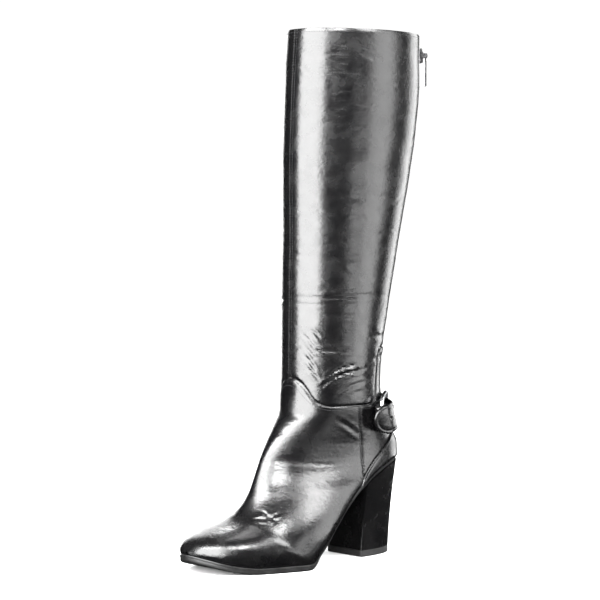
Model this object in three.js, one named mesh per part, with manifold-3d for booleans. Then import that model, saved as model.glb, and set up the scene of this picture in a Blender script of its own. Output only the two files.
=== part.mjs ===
import * as THREE from 'three';
import Module from 'manifold-3d';

// A knee-high block-heel boot for the left foot, standing empty on its sole.
// Millimetres, +Z up. The toe points to -Y and +X is the outer side.
// The origin is the centre of the heel's tread face, on the floor.

const wasm = await Module();
wasm.setup();

// Driving sizes of the last
const FOOT_LENGTH = 231;
const BALL_WIDTH = 90;
const HEEL_HEIGHT = 87;
const ANKLE_RISE = 73;
const TOE_SPRING = 11;

// Driving sizes of the shaft
const BOOT_HEIGHT = 475;
const ANKLE_DEPTH = 98;
const ANKLE_WIDTH = 77;
const CALF_DEPTH = 143;
const CALF_WIDTH = 92;
const ANKLE_FORWARD = 72;
const SHAFT_LEAN = 28;

// Walls, soles and clearances
const SHAFT_WALL = 1.4;
const FOOT_STEP = 0.9;
const FIT_GAP = 0.3;
const WAIST_THICKNESS = 4;
const FOREFOOT_THICKNESS = 5.5;
const FOREFOOT_MARGIN = 1.7;
const WAIST_MARGIN = 0.3;
const HEEL_MARGIN = 0.5;
const INSOLE_THICKNESS = 2;
const COUNTER_THICKNESS = 1.1;

// The block heel
const TREAD_LENGTH = 48;
const TREAD_WIDTH = 47;
const TREAD_BACK = 7;
const BREAST_FORWARD = 58;
const LIFT_THICKNESS = 6;

// Facets
const AROUND = 36;

const ANKLE_HEIGHT = HEEL_HEIGHT + ANKLE_RISE;
const SHAFT_HEIGHT = BOOT_HEIGHT - ANKLE_HEIGHT;
const ORIGIN_FORWARD = TREAD_BACK + TREAD_LENGTH / 2;

// The underside of the sole: heel is a share of the heel height, toe one of the toe spring
const TREAD_LINE = [
  { along: -0.10, heel: 1.025, toe: 0 },
  { along: 0.00, heel: 1.000, toe: 0 },
  { along: 0.11, heel: 0.935, toe: 0 },
  { along: 0.24, heel: 0.795, toe: 0 },
  { along: 0.34, heel: 0.605, toe: 0 },
  { along: 0.42, heel: 0.400, toe: 0 },
  { along: 0.49, heel: 0.195, toe: 0 },
  { along: 0.535, heel: 0.070, toe: 0 },
  { along: 0.585, heel: 0, toe: 0 },
  { along: 0.79, heel: 0, toe: 0 },
  { along: 0.87, heel: 0, toe: 0.18 },
  { along: 0.93, heel: 0, toe: 0.48 },
  { along: 1.00, heel: 0, toe: 1.00 },
  { along: 1.10, heel: 0, toe: 1.90 },
];

// Level sections of the shaft, from the collar down to the ankle. Depth and width go from
// 0 at the ankle's size to 1 at the calf's, back is a share of the lean of the shaft.
const SHAFT_ROWS = [
  { up: 1.00, depth: 0.93, width: 0.97, back: 1.02 },
  { up: 0.86, depth: 1.00, width: 1.00, back: 0.97 },
  { up: 0.72, depth: 0.94, width: 0.93, back: 0.85 },
  { up: 0.58, depth: 0.78, width: 0.78, back: 0.68 },
  { up: 0.44, depth: 0.54, width: 0.58, back: 0.50 },
  { up: 0.31, depth: 0.35, width: 0.42, back: 0.33 },
  { up: 0.19, depth: 0.18, width: 0.27, back: 0.17 },
  { up: 0.09, depth: 0.06, width: 0.13, back: 0.06 },
  { up: 0.00, depth: 0.00, width: 0.02, back: 0.00 },
];

// Sections that fan from level at the ankle to upright at the toe. The top point lies at
// topAlong and stands topTall over the tread line, the low point likewise; out and in are
// shares of the ball width, at the level of the widest point, which is a share of the way up.
const FOOT_ROWS = [
  { topAlong: 0.532, topTall: 0.810, lowAlong: 0.078, lowTall: 0.330,
    out: 0.412, in: 0.412, wide: 0.50, ridge: 2.00, under: 2.00, shift: 0.00, tip: 0 },
  { topAlong: 0.562, topTall: 0.780, lowAlong: 0.052, lowTall: 0.235,
    out: 0.392, in: 0.392, wide: 0.47, ridge: 1.95, under: 2.05, shift: 0.00, tip: 0 },
  { topAlong: 0.596, topTall: 0.730, lowAlong: 0.026, lowTall: 0.158,
    out: 0.376, in: 0.376, wide: 0.44, ridge: 1.88, under: 2.10, shift: 0.00, tip: 0 },
  { topAlong: 0.628, topTall: 0.668, lowAlong: 0.004, lowTall: 0.092,
    out: 0.364, in: 0.362, wide: 0.40, ridge: 1.82, under: 2.15, shift: 0.00, tip: 0 },
  { topAlong: 0.657, topTall: 0.600, lowAlong: 0.006, lowTall: 0.022,
    out: 0.360, in: 0.354, wide: 0.36, ridge: 1.78, under: 2.25, shift: 0.00, tip: 0 },
  { topAlong: 0.682, topTall: 0.532, lowAlong: 0.060, lowTall: 0.003,
    out: 0.368, in: 0.350, wide: 0.33, ridge: 1.76, under: 2.40, shift: 0.01, tip: 0 },
  { topAlong: 0.704, topTall: 0.468, lowAlong: 0.150, lowTall: -0.005,
    out: 0.390, in: 0.350, wide: 0.30, ridge: 1.76, under: 2.60, shift: 0.02, tip: 0 },
  { topAlong: 0.724, topTall: 0.410, lowAlong: 0.240, lowTall: -0.005,
    out: 0.425, in: 0.356, wide: 0.28, ridge: 1.78, under: 2.80, shift: 0.03, tip: 0 },
  { topAlong: 0.744, topTall: 0.360, lowAlong: 0.325, lowTall: -0.005,
    out: 0.470, in: 0.376, wide: 0.27, ridge: 1.82, under: 2.80, shift: 0.03, tip: 0 },
  { topAlong: 0.765, topTall: 0.320, lowAlong: 0.410, lowTall: -0.006,
    out: 0.525, in: 0.410, wide: 0.27, ridge: 1.86, under: 2.90, shift: 0.02, tip: 0 },
  { topAlong: 0.787, topTall: 0.292, lowAlong: 0.490, lowTall: -0.008,
    out: 0.560, in: 0.450, wide: 0.28, ridge: 1.90, under: 3.00, shift: 0.00, tip: 0 },
  { topAlong: 0.809, topTall: 0.270, lowAlong: 0.570, lowTall: -0.006,
    out: 0.566, in: 0.484, wide: 0.30, ridge: 1.95, under: 3.00, shift: -0.015, tip: 0 },
  { topAlong: 0.832, topTall: 0.251, lowAlong: 0.650, lowTall: -0.004,
    out: 0.536, in: 0.500, wide: 0.33, ridge: 2.00, under: 3.00, shift: -0.025, tip: 0.05 },
  { topAlong: 0.857, topTall: 0.232, lowAlong: 0.730, lowTall: -0.002,
    out: 0.496, in: 0.488, wide: 0.35, ridge: 2.05, under: 3.00, shift: -0.035, tip: 0.12 },
  { topAlong: 0.884, topTall: 0.212, lowAlong: 0.803, lowTall: 0.000,
    out: 0.447, in: 0.448, wide: 0.38, ridge: 2.10, under: 2.95, shift: -0.045, tip: 0.22 },
  { topAlong: 0.912, topTall: 0.188, lowAlong: 0.870, lowTall: 0.002,
    out: 0.384, in: 0.390, wide: 0.41, ridge: 2.15, under: 2.85, shift: -0.055, tip: 0.36 },
  { topAlong: 0.941, topTall: 0.160, lowAlong: 0.924, lowTall: 0.005,
    out: 0.310, in: 0.315, wide: 0.44, ridge: 2.15, under: 2.65, shift: -0.062, tip: 0.52 },
  { topAlong: 0.967, topTall: 0.128, lowAlong: 0.964, lowTall: 0.012,
    out: 0.225, in: 0.228, wide: 0.47, ridge: 2.10, under: 2.35, shift: -0.068, tip: 0.70 },
  { topAlong: 0.988, topTall: 0.094, lowAlong: 0.990, lowTall: 0.024,
    out: 0.128, in: 0.128, wide: 0.50, ridge: 2.00, under: 2.00, shift: -0.070, tip: 0.86 },
  { topAlong: 1.000, topTall: 0.058, lowAlong: 1.000, lowTall: 0.036,
    out: 0.024, in: 0.024, wide: 0.50, ridge: 2.00, under: 2.00, shift: -0.070, tip: 1 },
];

// Numbers between the rows of a table, smooth and without overshoot
function between(places, values) {
  const steps = values.slice(1).map((value, i) => (value - values[i]) / (places[i + 1] - places[i]));
  const slopes = values.map((value, i) => {
    if (i === 0) return steps[0];
    if (i === steps.length) return steps[i - 1];
    const product = steps[i - 1] * steps[i];
    return product <= 0 ? 0 : (2 * product) / (steps[i - 1] + steps[i]);
  });
  return (place) => {
    let i = places.findIndex((end) => end > place) - 1;
    if (i < 0) i = place < places[0] ? 0 : places.length - 2;
    const span = places[i + 1] - places[i];
    const s = Math.min(1, Math.max(0, (place - places[i]) / span));
    const bend = s * s * (3 - 2 * s);
    const first = s * (1 - s) * (1 - s) * slopes[i];
    const last = s * s * (s - 1) * slopes[i + 1];
    return values[i] + (values[i + 1] - values[i]) * bend + span * (first + last);
  };
}

function column(rows, key, places = rows.map((row, i) => i)) {
  return between(places, rows.map((row) => row[key]));
}

const treadPlaces = TREAD_LINE.map((row) => row.along);
const treadHeel = column(TREAD_LINE, 'heel', treadPlaces);
const treadToe = column(TREAD_LINE, 'toe', treadPlaces);

// Height of the sole's underside, and of its top, where the upper is seated
function tread(forward) {
  const along = forward / FOOT_LENGTH;
  return HEEL_HEIGHT * treadHeel(along) + TOE_SPRING * treadToe(along);
}

function soleThickness(forward) {
  const share = THREE.MathUtils.smoothstep(forward / FOOT_LENGTH, 0.45, 0.66);
  return WAIST_THICKNESS + (FOREFOOT_THICKNESS - WAIST_THICKNESS) * share;
}

function seat(forward) {
  return tread(forward) + soleThickness(forward);
}

// All sections with their sizes in millimetres, from the collar to the toe
function shaftSection(row) {
  const depth = ANKLE_DEPTH + (CALF_DEPTH - ANKLE_DEPTH) * row.depth;
  const half = (ANKLE_WIDTH + (CALF_WIDTH - ANKLE_WIDTH) * row.width) / 2;
  const middle = ANKLE_FORWARD - SHAFT_LEAN * row.back;
  const height = ANKLE_HEIGHT + SHAFT_HEIGHT * row.up;
  return {
    topA: middle + depth / 2,
    topZ: height,
    lowA: middle - depth / 2,
    lowZ: height,
    out: half,
    in: half,
    wide: 0.5,
    ridge: 2,
    under: 2,
    shift: 0,
    tip: 0,
  };
}

function footSection(row) {
  const topA = FOOT_LENGTH * row.topAlong;
  const lowA = FOOT_LENGTH * row.lowAlong;
  return {
    ...row,
    topA,
    topZ: tread(topA) + ANKLE_HEIGHT * row.topTall,
    lowA,
    lowZ: tread(lowA) + ANKLE_HEIGHT * row.lowTall,
    out: BALL_WIDTH * row.out,
    in: BALL_WIDTH * row.in,
    shift: BALL_WIDTH * row.shift,
  };
}

const SECTIONS = [...SHAFT_ROWS.map(shaftSection), ...FOOT_ROWS.map(footSection)];
const LAST_SECTION = SECTIONS.length - 1;
const sectionColumns = Object.keys(SECTIONS[0]).map((key) => [key, column(SECTIONS, key)]);

function section(place) {
  return Object.fromEntries(sectionColumns.map(([key, at]) => [key, at(place)]));
}

// A point of the boot's form grown by a distance: angle 0 is the shin and instep, a quarter
// turn the outer side, half a turn the back and the underside. It gives x, forward and up.
function formPoint(cut, angle, grow) {
  const reach = Math.hypot(cut.topA - cut.lowA, cut.topZ - cut.lowZ);
  const wayA = (cut.topA - cut.lowA) / reach;
  const wayZ = (cut.topZ - cut.lowZ) / reach;
  const c = Math.cos(angle);
  const s = Math.sin(angle);
  const power = 2 / (c >= 0 ? cut.ridge : cut.under);
  const sideways = grow * Math.sqrt(1 - cut.tip * cut.tip);
  const half = reach * (c >= 0 ? 1 - cut.wide : cut.wide) + sideways;
  const along = reach * cut.wide + Math.sign(c) * Math.abs(c) ** power * half;
  const side = Math.sign(s) * Math.abs(s) ** power * ((s >= 0 ? cut.out : cut.in) + sideways);
  return {
    x: cut.shift + side,
    a: cut.lowA + wayA * along + grow * cut.tip,
    z: cut.lowZ + wayZ * along,
  };
}

function place({ x, a, z }) {
  return [x, ORIGIN_FORWARD - a, z];
}

// Closed bodies from rings of points that all have the same number of points
function bodyOf(points, triangles) {
  let volume = 0;
  for (const [i, j, k] of triangles) {
    const [p, q, r] = [points[i], points[j], points[k]];
    volume += p[0] * (q[1] * r[2] - q[2] * r[1]);
    volume += p[1] * (q[2] * r[0] - q[0] * r[2]);
    volume += p[2] * (q[0] * r[1] - q[1] * r[0]);
  }
  const outward = volume > 0 ? triangles : triangles.map(([i, j, k]) => [i, k, j]);
  const solid = new wasm.Manifold(new wasm.Mesh({
    numProp: 3,
    vertProperties: new Float32Array(points.flat()),
    triVerts: new Uint32Array(outward.flat()),
  }));
  return solid;
}

function ringWalls(ringCount, size, triangles, closed = false) {
  const strips = closed ? ringCount : ringCount - 1;
  for (let ring = 0; ring < strips; ring += 1) {
    const next = (ring + 1) % ringCount;
    for (let i = 0; i < size; i += 1) {
      const j = (i + 1) % size;
      const [a, b, c, d] = [ring * size + i, ring * size + j, next * size + j, next * size + i];
      triangles.push([a, b, c], [a, c, d]);
    }
  }
}

function middleOf(ring) {
  return [0, 1, 2].map((axis) => ring.reduce((sum, point) => sum + point[axis], 0) / ring.length);
}

// Rings stacked into one body, closed at both ends by a fan
function stack(rings) {
  const size = rings[0].length;
  const points = rings.flat();
  const triangles = [];
  ringWalls(rings.length, size, triangles);
  const [first, last] = [points.length, points.length + 1];
  points.push(middleOf(rings[0]), middleOf(rings.at(-1)));
  const end = (rings.length - 1) * size;
  for (let i = 0; i < size; i += 1) {
    const j = (i + 1) % size;
    triangles.push([first, j, i], [last, end + i, end + j]);
  }
  return bodyOf(points, triangles);
}

// The whole form of the boot as one closed body, grown by a distance
const FORM_PLACES = [];
for (let i = 0; i <= LAST_SECTION; i += 1) FORM_PLACES.push(i);

function form(grow, above = 0) {
  const rings = FORM_PLACES.map((at) => {
    const cut = section(at);
    const lift = at === 0 ? above : 0;
    const ring = [];
    for (let i = 0; i < AROUND; i += 1) {
      const point = formPoint(cut, (2 * Math.PI * i) / AROUND, grow);
      ring.push(place({ ...point, z: point.z + lift }));
    }
    return ring;
  });
  return stack(rings);
}

// A body with a side outline of [forward, up] points, from one x to another
function sidePrism(outline, from, to) {
  const flat = outline.map(([a, z]) => new THREE.Vector2(a, z));
  const faces = THREE.ShapeUtils.triangulateShape(flat, []);
  const points = [from, to].flatMap((x) => outline.map(([a, z]) => place({ x, a, z })));
  const size = outline.length;
  const triangles = [];
  ringWalls(2, size, triangles);
  const order = Math.sign(THREE.ShapeUtils.area(flat));
  for (const face of faces) {
    const sameOrder = Math.sign(THREE.ShapeUtils.area(face.map((i) => flat[i]))) === order;
    const [i, j, k] = sameOrder ? face : [face[0], face[2], face[1]];
    triangles.push([i, k, j], [i + size, j + size, k + size]);
  }
  return bodyOf(points, triangles);
}

// Where the grown form crosses the seat, raised by a lift: the outline of all that lies there
function crossing(cut, grow, lift, side) {
  const over = (turn) => {
    const point = formPoint(cut, turn, grow);
    return point.z - seat(point.a) - lift;
  };
  let [high, low] = side > 0 ? [Math.PI / 2, Math.PI] : [(3 * Math.PI) / 2, Math.PI];
  for (let i = 0; i < 30; i += 1) {
    const middle = (high + low) / 2;
    if (over(middle) > 0) high = middle;
    else low = middle;
  }
  return formPoint(cut, high, grow);
}

// Pairs of outer and inner points of the seat's outline, from the heel's back to the toe's tip
function seatPairs(grow, lift) {
  const belowSeat = (at) => {
    const low = formPoint(section(at), Math.PI, grow);
    return low.z - seat(low.a) - lift < 0;
  };
  let [high, low] = [SHAFT_ROWS.length, SHAFT_ROWS.length + 8];
  for (let i = 0; i < 30; i += 1) {
    const middle = (high + low) / 2;
    if (belowSeat(middle)) low = middle;
    else high = middle;
  }
  const first = low;
  const places = [0.04, 0.16, 0.36, 0.64].map((share) => first + share);
  for (let at = Math.ceil(first + 0.8); at <= LAST_SECTION; at += 1) places.push(at);
  return places.map((at) => {
    const cut = section(at);
    return [crossing(cut, grow, lift, 1), crossing(cut, grow, lift, -1)];
  });
}

function pairsToRing(pairs) {
  return [...pairs.map((pair) => pair[0]), ...pairs.map((pair) => pair[1]).reverse()];
}

// An outline moved outward in plan by a distance that may change along the foot
function spread(ring, distance) {
  const area = ring.reduce((sum, point, i) => {
    const next = ring[(i + 1) % ring.length];
    return sum + point.x * next.a - next.x * point.a;
  }, 0);
  return ring.map((point, i) => {
    const before = ring[(i + ring.length - 1) % ring.length];
    const after = ring[(i + 1) % ring.length];
    const [dx, da] = [after.x - before.x, after.a - before.a];
    const scale = (Math.sign(area) * distance(point.a)) / Math.hypot(dx, da);
    return { x: point.x + da * scale, a: point.a - dx * scale };
  });
}

// A flat-sided body over the foot's outline: its rings are paired across the foot
function footLayer(rings) {
  const size = rings[0].length;
  const points = rings.flat();
  const triangles = [];
  ringWalls(rings.length, size, triangles);
  const end = (rings.length - 1) * size;
  for (let i = 0; i < size / 2 - 1; i += 1) {
    const [p, q, r, s] = [i, i + 1, size - 2 - i, size - 1 - i];
    triangles.push([p, r, q], [p, s, r]);
    triangles.push([end + p, end + q, end + r], [end + p, end + r, end + s]);
  }
  return bodyOf(points, triangles);
}

function soleMargin(forward) {
  const along = forward / FOOT_LENGTH;
  const toWaist = THREE.MathUtils.smoothstep(along, 0.18, 0.34);
  const toBall = THREE.MathUtils.smoothstep(along, 0.42, 0.62);
  const rear = HEEL_MARGIN + (WAIST_MARGIN - HEEL_MARGIN) * toWaist;
  return rear + (FOREFOOT_MARGIN - WAIST_MARGIN) * toBall;
}

const SOLE_OUTLINE = spread(pairsToRing(seatPairs(FOOT_STEP, 0)), soleMargin);

// The outsole's edge has a proud top ply, a groove under it and a bevelled foot
const EDGE_PLY = 1.8;
const EDGE_GROOVE = 0.7;
const EDGE_BEVEL = 0.8;

// A body under or over a height along the foot, as wide as the boot, to cut with
const CLEAR = 400;
const CUT_STEPS = 60;

function footCut(height, to) {
  const [heel, toe] = [-0.25 * FOOT_LENGTH, 1.25 * FOOT_LENGTH];
  const line = Array.from({ length: CUT_STEPS + 1 }, (_, i) => {
    const a = heel + ((toe - heel) * i) / CUT_STEPS;
    return [a, height(a)];
  });
  return sidePrism([...line, [toe, to], [heel, to]], -CLEAR, CLEAR);
}

// What a foot layer has in hand above and below its faces before they are cut
const SPARE = 1;

function outsole() {
  const layer = (inset, height) => {
    const ring = spread(SOLE_OUTLINE, () => -inset);
    return ring.map((point) => place({ ...point, z: height(point.a) }));
  };
  const body = footLayer([
    layer(0, (a) => seat(a) + SPARE),
    layer(0, (a) => seat(a) - EDGE_PLY),
    layer(EDGE_GROOVE, (a) => seat(a) - EDGE_PLY - EDGE_GROOVE / 2),
    layer(EDGE_GROOVE, (a) => tread(a) + EDGE_BEVEL),
    layer(EDGE_GROOVE + EDGE_BEVEL + SPARE, (a) => tread(a) - SPARE),
  ]);
  return body.subtract(footCut(seat, CLEAR)).subtract(footCut(tread, -CLEAR));
}

function insole() {
  const body = form(-SHAFT_WALL - 2 * FIT_GAP);
  const low = (a) => seat(a) + FIT_GAP;
  const high = (a) => low(a) + INSOLE_THICKNESS;
  return body.subtract(footCut(low, -CLEAR)).subtract(footCut(high, 2 * CLEAR));
}

// The heel block runs from the sole's own outline down to a D-shaped tread face
const HEEL_POINTS = 23;
const HEEL_RINGS = 6;
const HEEL_HOLLOW = 0.12;
const TREAD_SQUARENESS = 0.85;

function resample(points, count) {
  const lengths = [0];
  for (let i = 1; i < points.length; i += 1) {
    const step = Math.hypot(points[i].x - points[i - 1].x, points[i].a - points[i - 1].a);
    lengths.push(lengths[i - 1] + step);
  }
  const total = lengths.at(-1);
  return Array.from({ length: count }, (_, n) => {
    const want = (total * n) / (count - 1);
    const i = Math.min(points.length - 2, Math.max(0, lengths.findIndex((end) => end > want) - 1));
    const share = n === count - 1 ? 1 : (want - lengths[i]) / (lengths[i + 1] - lengths[i]);
    const mix = (key) => points[i][key] + (points[i + 1][key] - points[i][key]) * share;
    return n === count - 1 ? points.at(-1) : { x: mix('x'), a: mix('a') };
  });
}

function heelTopOutline() {
  const half = SOLE_OUTLINE.length / 2;
  const outer = SOLE_OUTLINE.slice(0, half);
  const inner = SOLE_OUTLINE.slice(half);
  const toBreast = (points) => {
    const kept = [];
    for (let i = 0; i < points.length; i += 1) {
      if (points[i].a < BREAST_FORWARD) {
        kept.push(points[i]);
      } else {
        const share = (BREAST_FORWARD - points[i - 1].a) / (points[i].a - points[i - 1].a);
        const x = points[i - 1].x + (points[i].x - points[i - 1].x) * share;
        return [...kept, { x, a: BREAST_FORWARD }];
      }
    }
    return kept;
  };
  const around = [...toBreast(outer).reverse(), ...toBreast(inner.reverse())];
  return resample(around, HEEL_POINTS);
}

function heelTreadOutline() {
  const points = [];
  for (let i = 0; i <= 60; i += 1) {
    const turn = Math.PI * (0.5 - i / 60);
    const bulge = Math.cos(turn) ** TREAD_SQUARENESS;
    const aside = Math.abs(Math.sin(turn)) ** TREAD_SQUARENESS;
    points.push({
      x: (Math.sign(Math.sin(turn)) * aside * TREAD_WIDTH) / 2,
      a: TREAD_BACK + TREAD_LENGTH * (1 - bulge),
    });
  }
  return resample(points, HEEL_POINTS);
}

function heelRing(share) {
  const ease = share + HEEL_HOLLOW * Math.sin(Math.PI * share);
  const top = heelTopOutline();
  return heelTreadOutline().map((low, i) => ({
    x: top[i].x + (low.x - top[i].x) * ease,
    a: top[i].a + (low.a - top[i].a) * ease,
    high: tread(top[i].a) + SPARE,
  }));
}

function heelBlock() {
  const floor = LIFT_THICKNESS + FIT_GAP;
  const rings = [];
  for (let i = 0; i < HEEL_RINGS; i += 1) {
    const share = i / (HEEL_RINGS - 1);
    rings.push(heelRing(share).map((p) => place({ ...p, z: p.high + (floor - p.high) * share })));
  }
  return stack(rings).subtract(footCut((a) => tread(a) - FIT_GAP, CLEAR));
}

function heelTopLift() {
  const ring = (z) => heelTreadOutline().map((point) => place({ ...point, z }));
  return stack([ring(LIFT_THICKNESS), ring(0)]);
}

// The foot part's top line seen from the side: the back tab, the low sides and the front peak
const TAB_RISE = 30;
const TAB_FORWARD = 44;
const TAB_CORNER = 9;
const SIDE_DROP = 21;
const PEAK_RISE = 12;
const PEAK_FOOT = 22;
const TAB_LEAN = 3;

function topLine() {
  const tabTop = ANKLE_HEIGHT + TAB_RISE;
  const side = ANKLE_HEIGHT - SIDE_DROP;
  const peak = ANKLE_HEIGHT + PEAK_RISE;
  const rise = peak - side;
  const shin = SECTIONS[SHAFT_ROWS.length - 1].topA;
  const line = new THREE.Path();
  line.moveTo(-CLEAR, tabTop);
  line.lineTo(TAB_FORWARD - TAB_CORNER, tabTop);
  line.quadraticCurveTo(TAB_FORWARD, tabTop, TAB_FORWARD + TAB_LEAN / 3, tabTop - TAB_CORNER);
  line.lineTo(TAB_FORWARD + TAB_LEAN, side + TAB_CORNER);
  line.quadraticCurveTo(TAB_FORWARD + TAB_LEAN, side, TAB_FORWARD + 2 * TAB_CORNER, side);
  line.lineTo(shin - PEAK_FOOT, side);
  line.quadraticCurveTo(shin - 0.45 * PEAK_FOOT, side + 1, shin - 0.27 * PEAK_FOOT, side + 0.32 * rise);
  line.quadraticCurveTo(shin, side + 0.85 * rise, shin + 0.3 * PEAK_FOOT, peak);
  line.lineTo(CLEAR, peak);
  return line.getPoints(5).map((point) => [point.x, point.y]);
}

function aboveTopLine(shift) {
  const line = topLine().map(([a, z]) => [a, z + shift]);
  return sidePrism([...line, [CLEAR, BOOT_HEIGHT + CLEAR], [-CLEAR, BOOT_HEIGHT + CLEAR]], -CLEAR, CLEAR);
}

// The counter's upper edge: shares of the foot's length and of the ankle's height
const COUNTER_LINE = [
  { along: -0.11, tall: 0.794 },
  { along: 0.01, tall: 0.756 },
  { along: 0.06, tall: 0.719 },
  { along: 0.104, tall: 0.675 },
  { along: 0.173, tall: 0.600 },
  { along: 0.242, tall: 0.525 },
  { along: 0.286, tall: 0.469 },
  { along: 0.307, tall: 0.406 },
  { along: 0.320, tall: 0.300 },
];

function heelCounter() {
  const outer = form(FOOT_STEP + FIT_GAP + COUNTER_THICKNESS);
  const inner = form(FOOT_STEP + FIT_GAP);
  const edge = COUNTER_LINE.map(({ along, tall }) => [FOOT_LENGTH * along, ANKLE_HEIGHT * tall]);
  const crescent = sidePrism([...edge, [edge[0][0], edge.at(-1)[1]]], -CLEAR, CLEAR);
  return outer.subtract(inner).intersect(crescent).subtract(footCut((a) => seat(a) + FIT_GAP, -CLEAR));
}

// A point on the grown form at a height, given the turn round it from the back: positive
// turns go to the outer side
function levelPoint(turn, height, grow) {
  const angle = Math.PI - turn;
  let [high, low] = [0, SHAFT_ROWS.length + 3];
  for (let i = 0; i < 30; i += 1) {
    const middle = (high + low) / 2;
    if (formPoint(section(middle), angle, grow).z > height) high = middle;
    else low = middle;
  }
  return new THREE.Vector3(...place(formPoint(section(high), angle, grow)));
}

// Axes on the surface there: along goes round to the outer side, up up it and out of it
function surfaceFrame(turn, height, grow) {
  const step = 0.03;
  const origin = levelPoint(turn, height, grow);
  const along = levelPoint(turn + step, height, grow).sub(levelPoint(turn - step, height, grow));
  const rise = levelPoint(turn, height + 3, grow).sub(levelPoint(turn, height - 3, grow));
  const out = rise.cross(along).normalize();
  along.normalize();
  const up = along.clone().cross(out).normalize();
  const at = (u, v, w) => origin.clone().addScaledVector(along, u).addScaledVector(up, v)
    .addScaledVector(out, w).toArray();
  return { origin, along, up, out, at };
}

// A strip round the ankle from rows of turn, low and high offsets and half width
function wrap(rows, heightAt) {
  const turns = rows.map((row) => row.turn);
  const [low, high, half] = ['low', 'high', 'half'].map((key) => column(rows, key, turns));
  const steps = Math.ceil((turns.at(-1) - turns[0]) / WRAP_STEP);
  const rings = [];
  for (let i = 0; i <= steps; i += 1) {
    const turn = turns[0] + ((turns.at(-1) - turns[0]) * i) / steps;
    const radians = THREE.MathUtils.degToRad(turn);
    const point = (side, grow) => {
      return levelPoint(radians, heightAt(radians) + side * half(turn), grow).toArray();
    };
    const inner = [-1, 0, 1].map((side) => point(side, low(turn)));
    const outer = [1, 0, -1].map((side) => point(side, high(turn)));
    rings.push([...inner, ...outer]);
  }
  return stack(rings);
}

// A round bar between two points of a frame, or round a closed loop in its plane
function bar(frame, from, to, radius, sides = 12) {
  const ends = [from, to].map((end) => new THREE.Vector3(...frame.at(...end)));
  const way = ends[1].clone().sub(ends[0]).normalize();
  const across = Math.abs(way.dot(frame.out)) > 0.9 ? frame.along.clone() : frame.out.clone();
  const first = across.cross(way).normalize();
  const second = way.clone().cross(first);
  return stack(ends.map((end) => Array.from({ length: sides }, (_, i) => {
    const turn = (2 * Math.PI * i) / sides;
    const point = end.clone().addScaledVector(first, radius * Math.cos(turn));
    return point.addScaledVector(second, radius * Math.sin(turn)).toArray();
  })));
}

function roundedLoop(frame, halfLong, halfHigh, corner, radius) {
  const sides = 8;
  const steps = 4;
  const rings = [];
  for (let quarter = 0; quarter < 4; quarter += 1) {
    const signs = [[1, 1], [-1, 1], [-1, -1], [1, -1]][quarter];
    const middle = [signs[0] * (halfLong - corner), signs[1] * (halfHigh - corner)];
    for (let i = 0; i <= steps; i += 1) {
      const turn = (Math.PI / 2) * (quarter + i / steps);
      const [u, v] = [Math.cos(turn), Math.sin(turn)];
      rings.push(Array.from({ length: sides }, (_, k) => {
        const roll = (2 * Math.PI * (k + 0.5)) / sides;
        const reach = corner + radius * Math.cos(roll);
        return frame.at(middle[0] + u * reach, middle[1] + v * reach, radius * Math.sin(roll));
      }));
    }
  }
  const triangles = [];
  ringWalls(rings.length, sides, triangles, true);
  return bodyOf(rings.flat(), triangles);
}

// A block in a frame: ranges along, up and out of it
function block(frame, [u0, u1], [v0, v1], [w0, w1]) {
  const ring = (w) => [[u0, v0], [u1, v0], [u1, v1], [u0, v1]].map(([u, v]) => frame.at(u, v, w));
  return stack([ring(w0), ring(w1)]);
}

// The ankle strap runs round the back, under the buckle's rear bar and over its front bar
const WRAP_STEP = 5;
const STRAP_WIDTH = 25;
const STRAP_THICKNESS = 1.8;
const STRAP_BELOW_ANKLE = 24;
const STRAP_SLOPE = 14;
const STRAP_BASE = FOOT_STEP + FIT_GAP;
const STRAP_SUNK = 0.8;
const BUCKLE_TURN = 50;
const BUCKLE_TILT = 6;
const BUCKLE_LONG = 36;
const BUCKLE_HIGH = 35;
const BUCKLE_BAR = 4.2;
const BUCKLE_CORNER = 6;
const BUCKLE_STANDOFF = 5;
const CHAPE_THICKNESS = 1.6;
const CHAPE_INSET = 1;
const PRONG_RADIUS = 1.3;
const PRONG_OVER = 3;
const PRONG_EYE = 1.6;

function strapHeight(turn) {
  return ANKLE_HEIGHT - STRAP_BELOW_ANKLE - STRAP_SLOPE * (1 - Math.cos(turn));
}

// Axes on the strap's own slope, tilted so that the front stands further out
function strapFrame(turn, standoff, tilt) {
  const step = 0.1;
  const flat = surfaceFrame(turn, strapHeight(turn), standoff);
  const ahead = levelPoint(turn + step, strapHeight(turn + step), standoff);
  const behind = levelPoint(turn - step, strapHeight(turn - step), standoff);
  const way = ahead.sub(behind).normalize();
  const side = way.clone().cross(flat.out).normalize();
  const along = way.applyAxisAngle(side, tilt);
  const out = side.clone().cross(along).normalize();
  const up = along.clone().cross(out).normalize();
  const at = (u, v, w) => flat.origin.clone().addScaledVector(along, u).addScaledVector(up, v)
    .addScaledVector(out, w).toArray();
  return { origin: flat.origin, along, up, out, at };
}

const buckleTurn = THREE.MathUtils.degToRad(BUCKLE_TURN);
const buckleFrame = strapFrame(buckleTurn, BUCKLE_STANDOFF, THREE.MathUtils.degToRad(BUCKLE_TILT));
const barLong = (BUCKLE_LONG - BUCKLE_BAR) / 2;
const barHigh = (BUCKLE_HIGH - BUCKLE_BAR) / 2;
const barRadius = BUCKLE_BAR / 2;
const LOOP_LIFT = 9.3;
const loopHigh = LOOP_LIFT + barRadius + FIT_GAP + CHAPE_THICKNESS;

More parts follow.
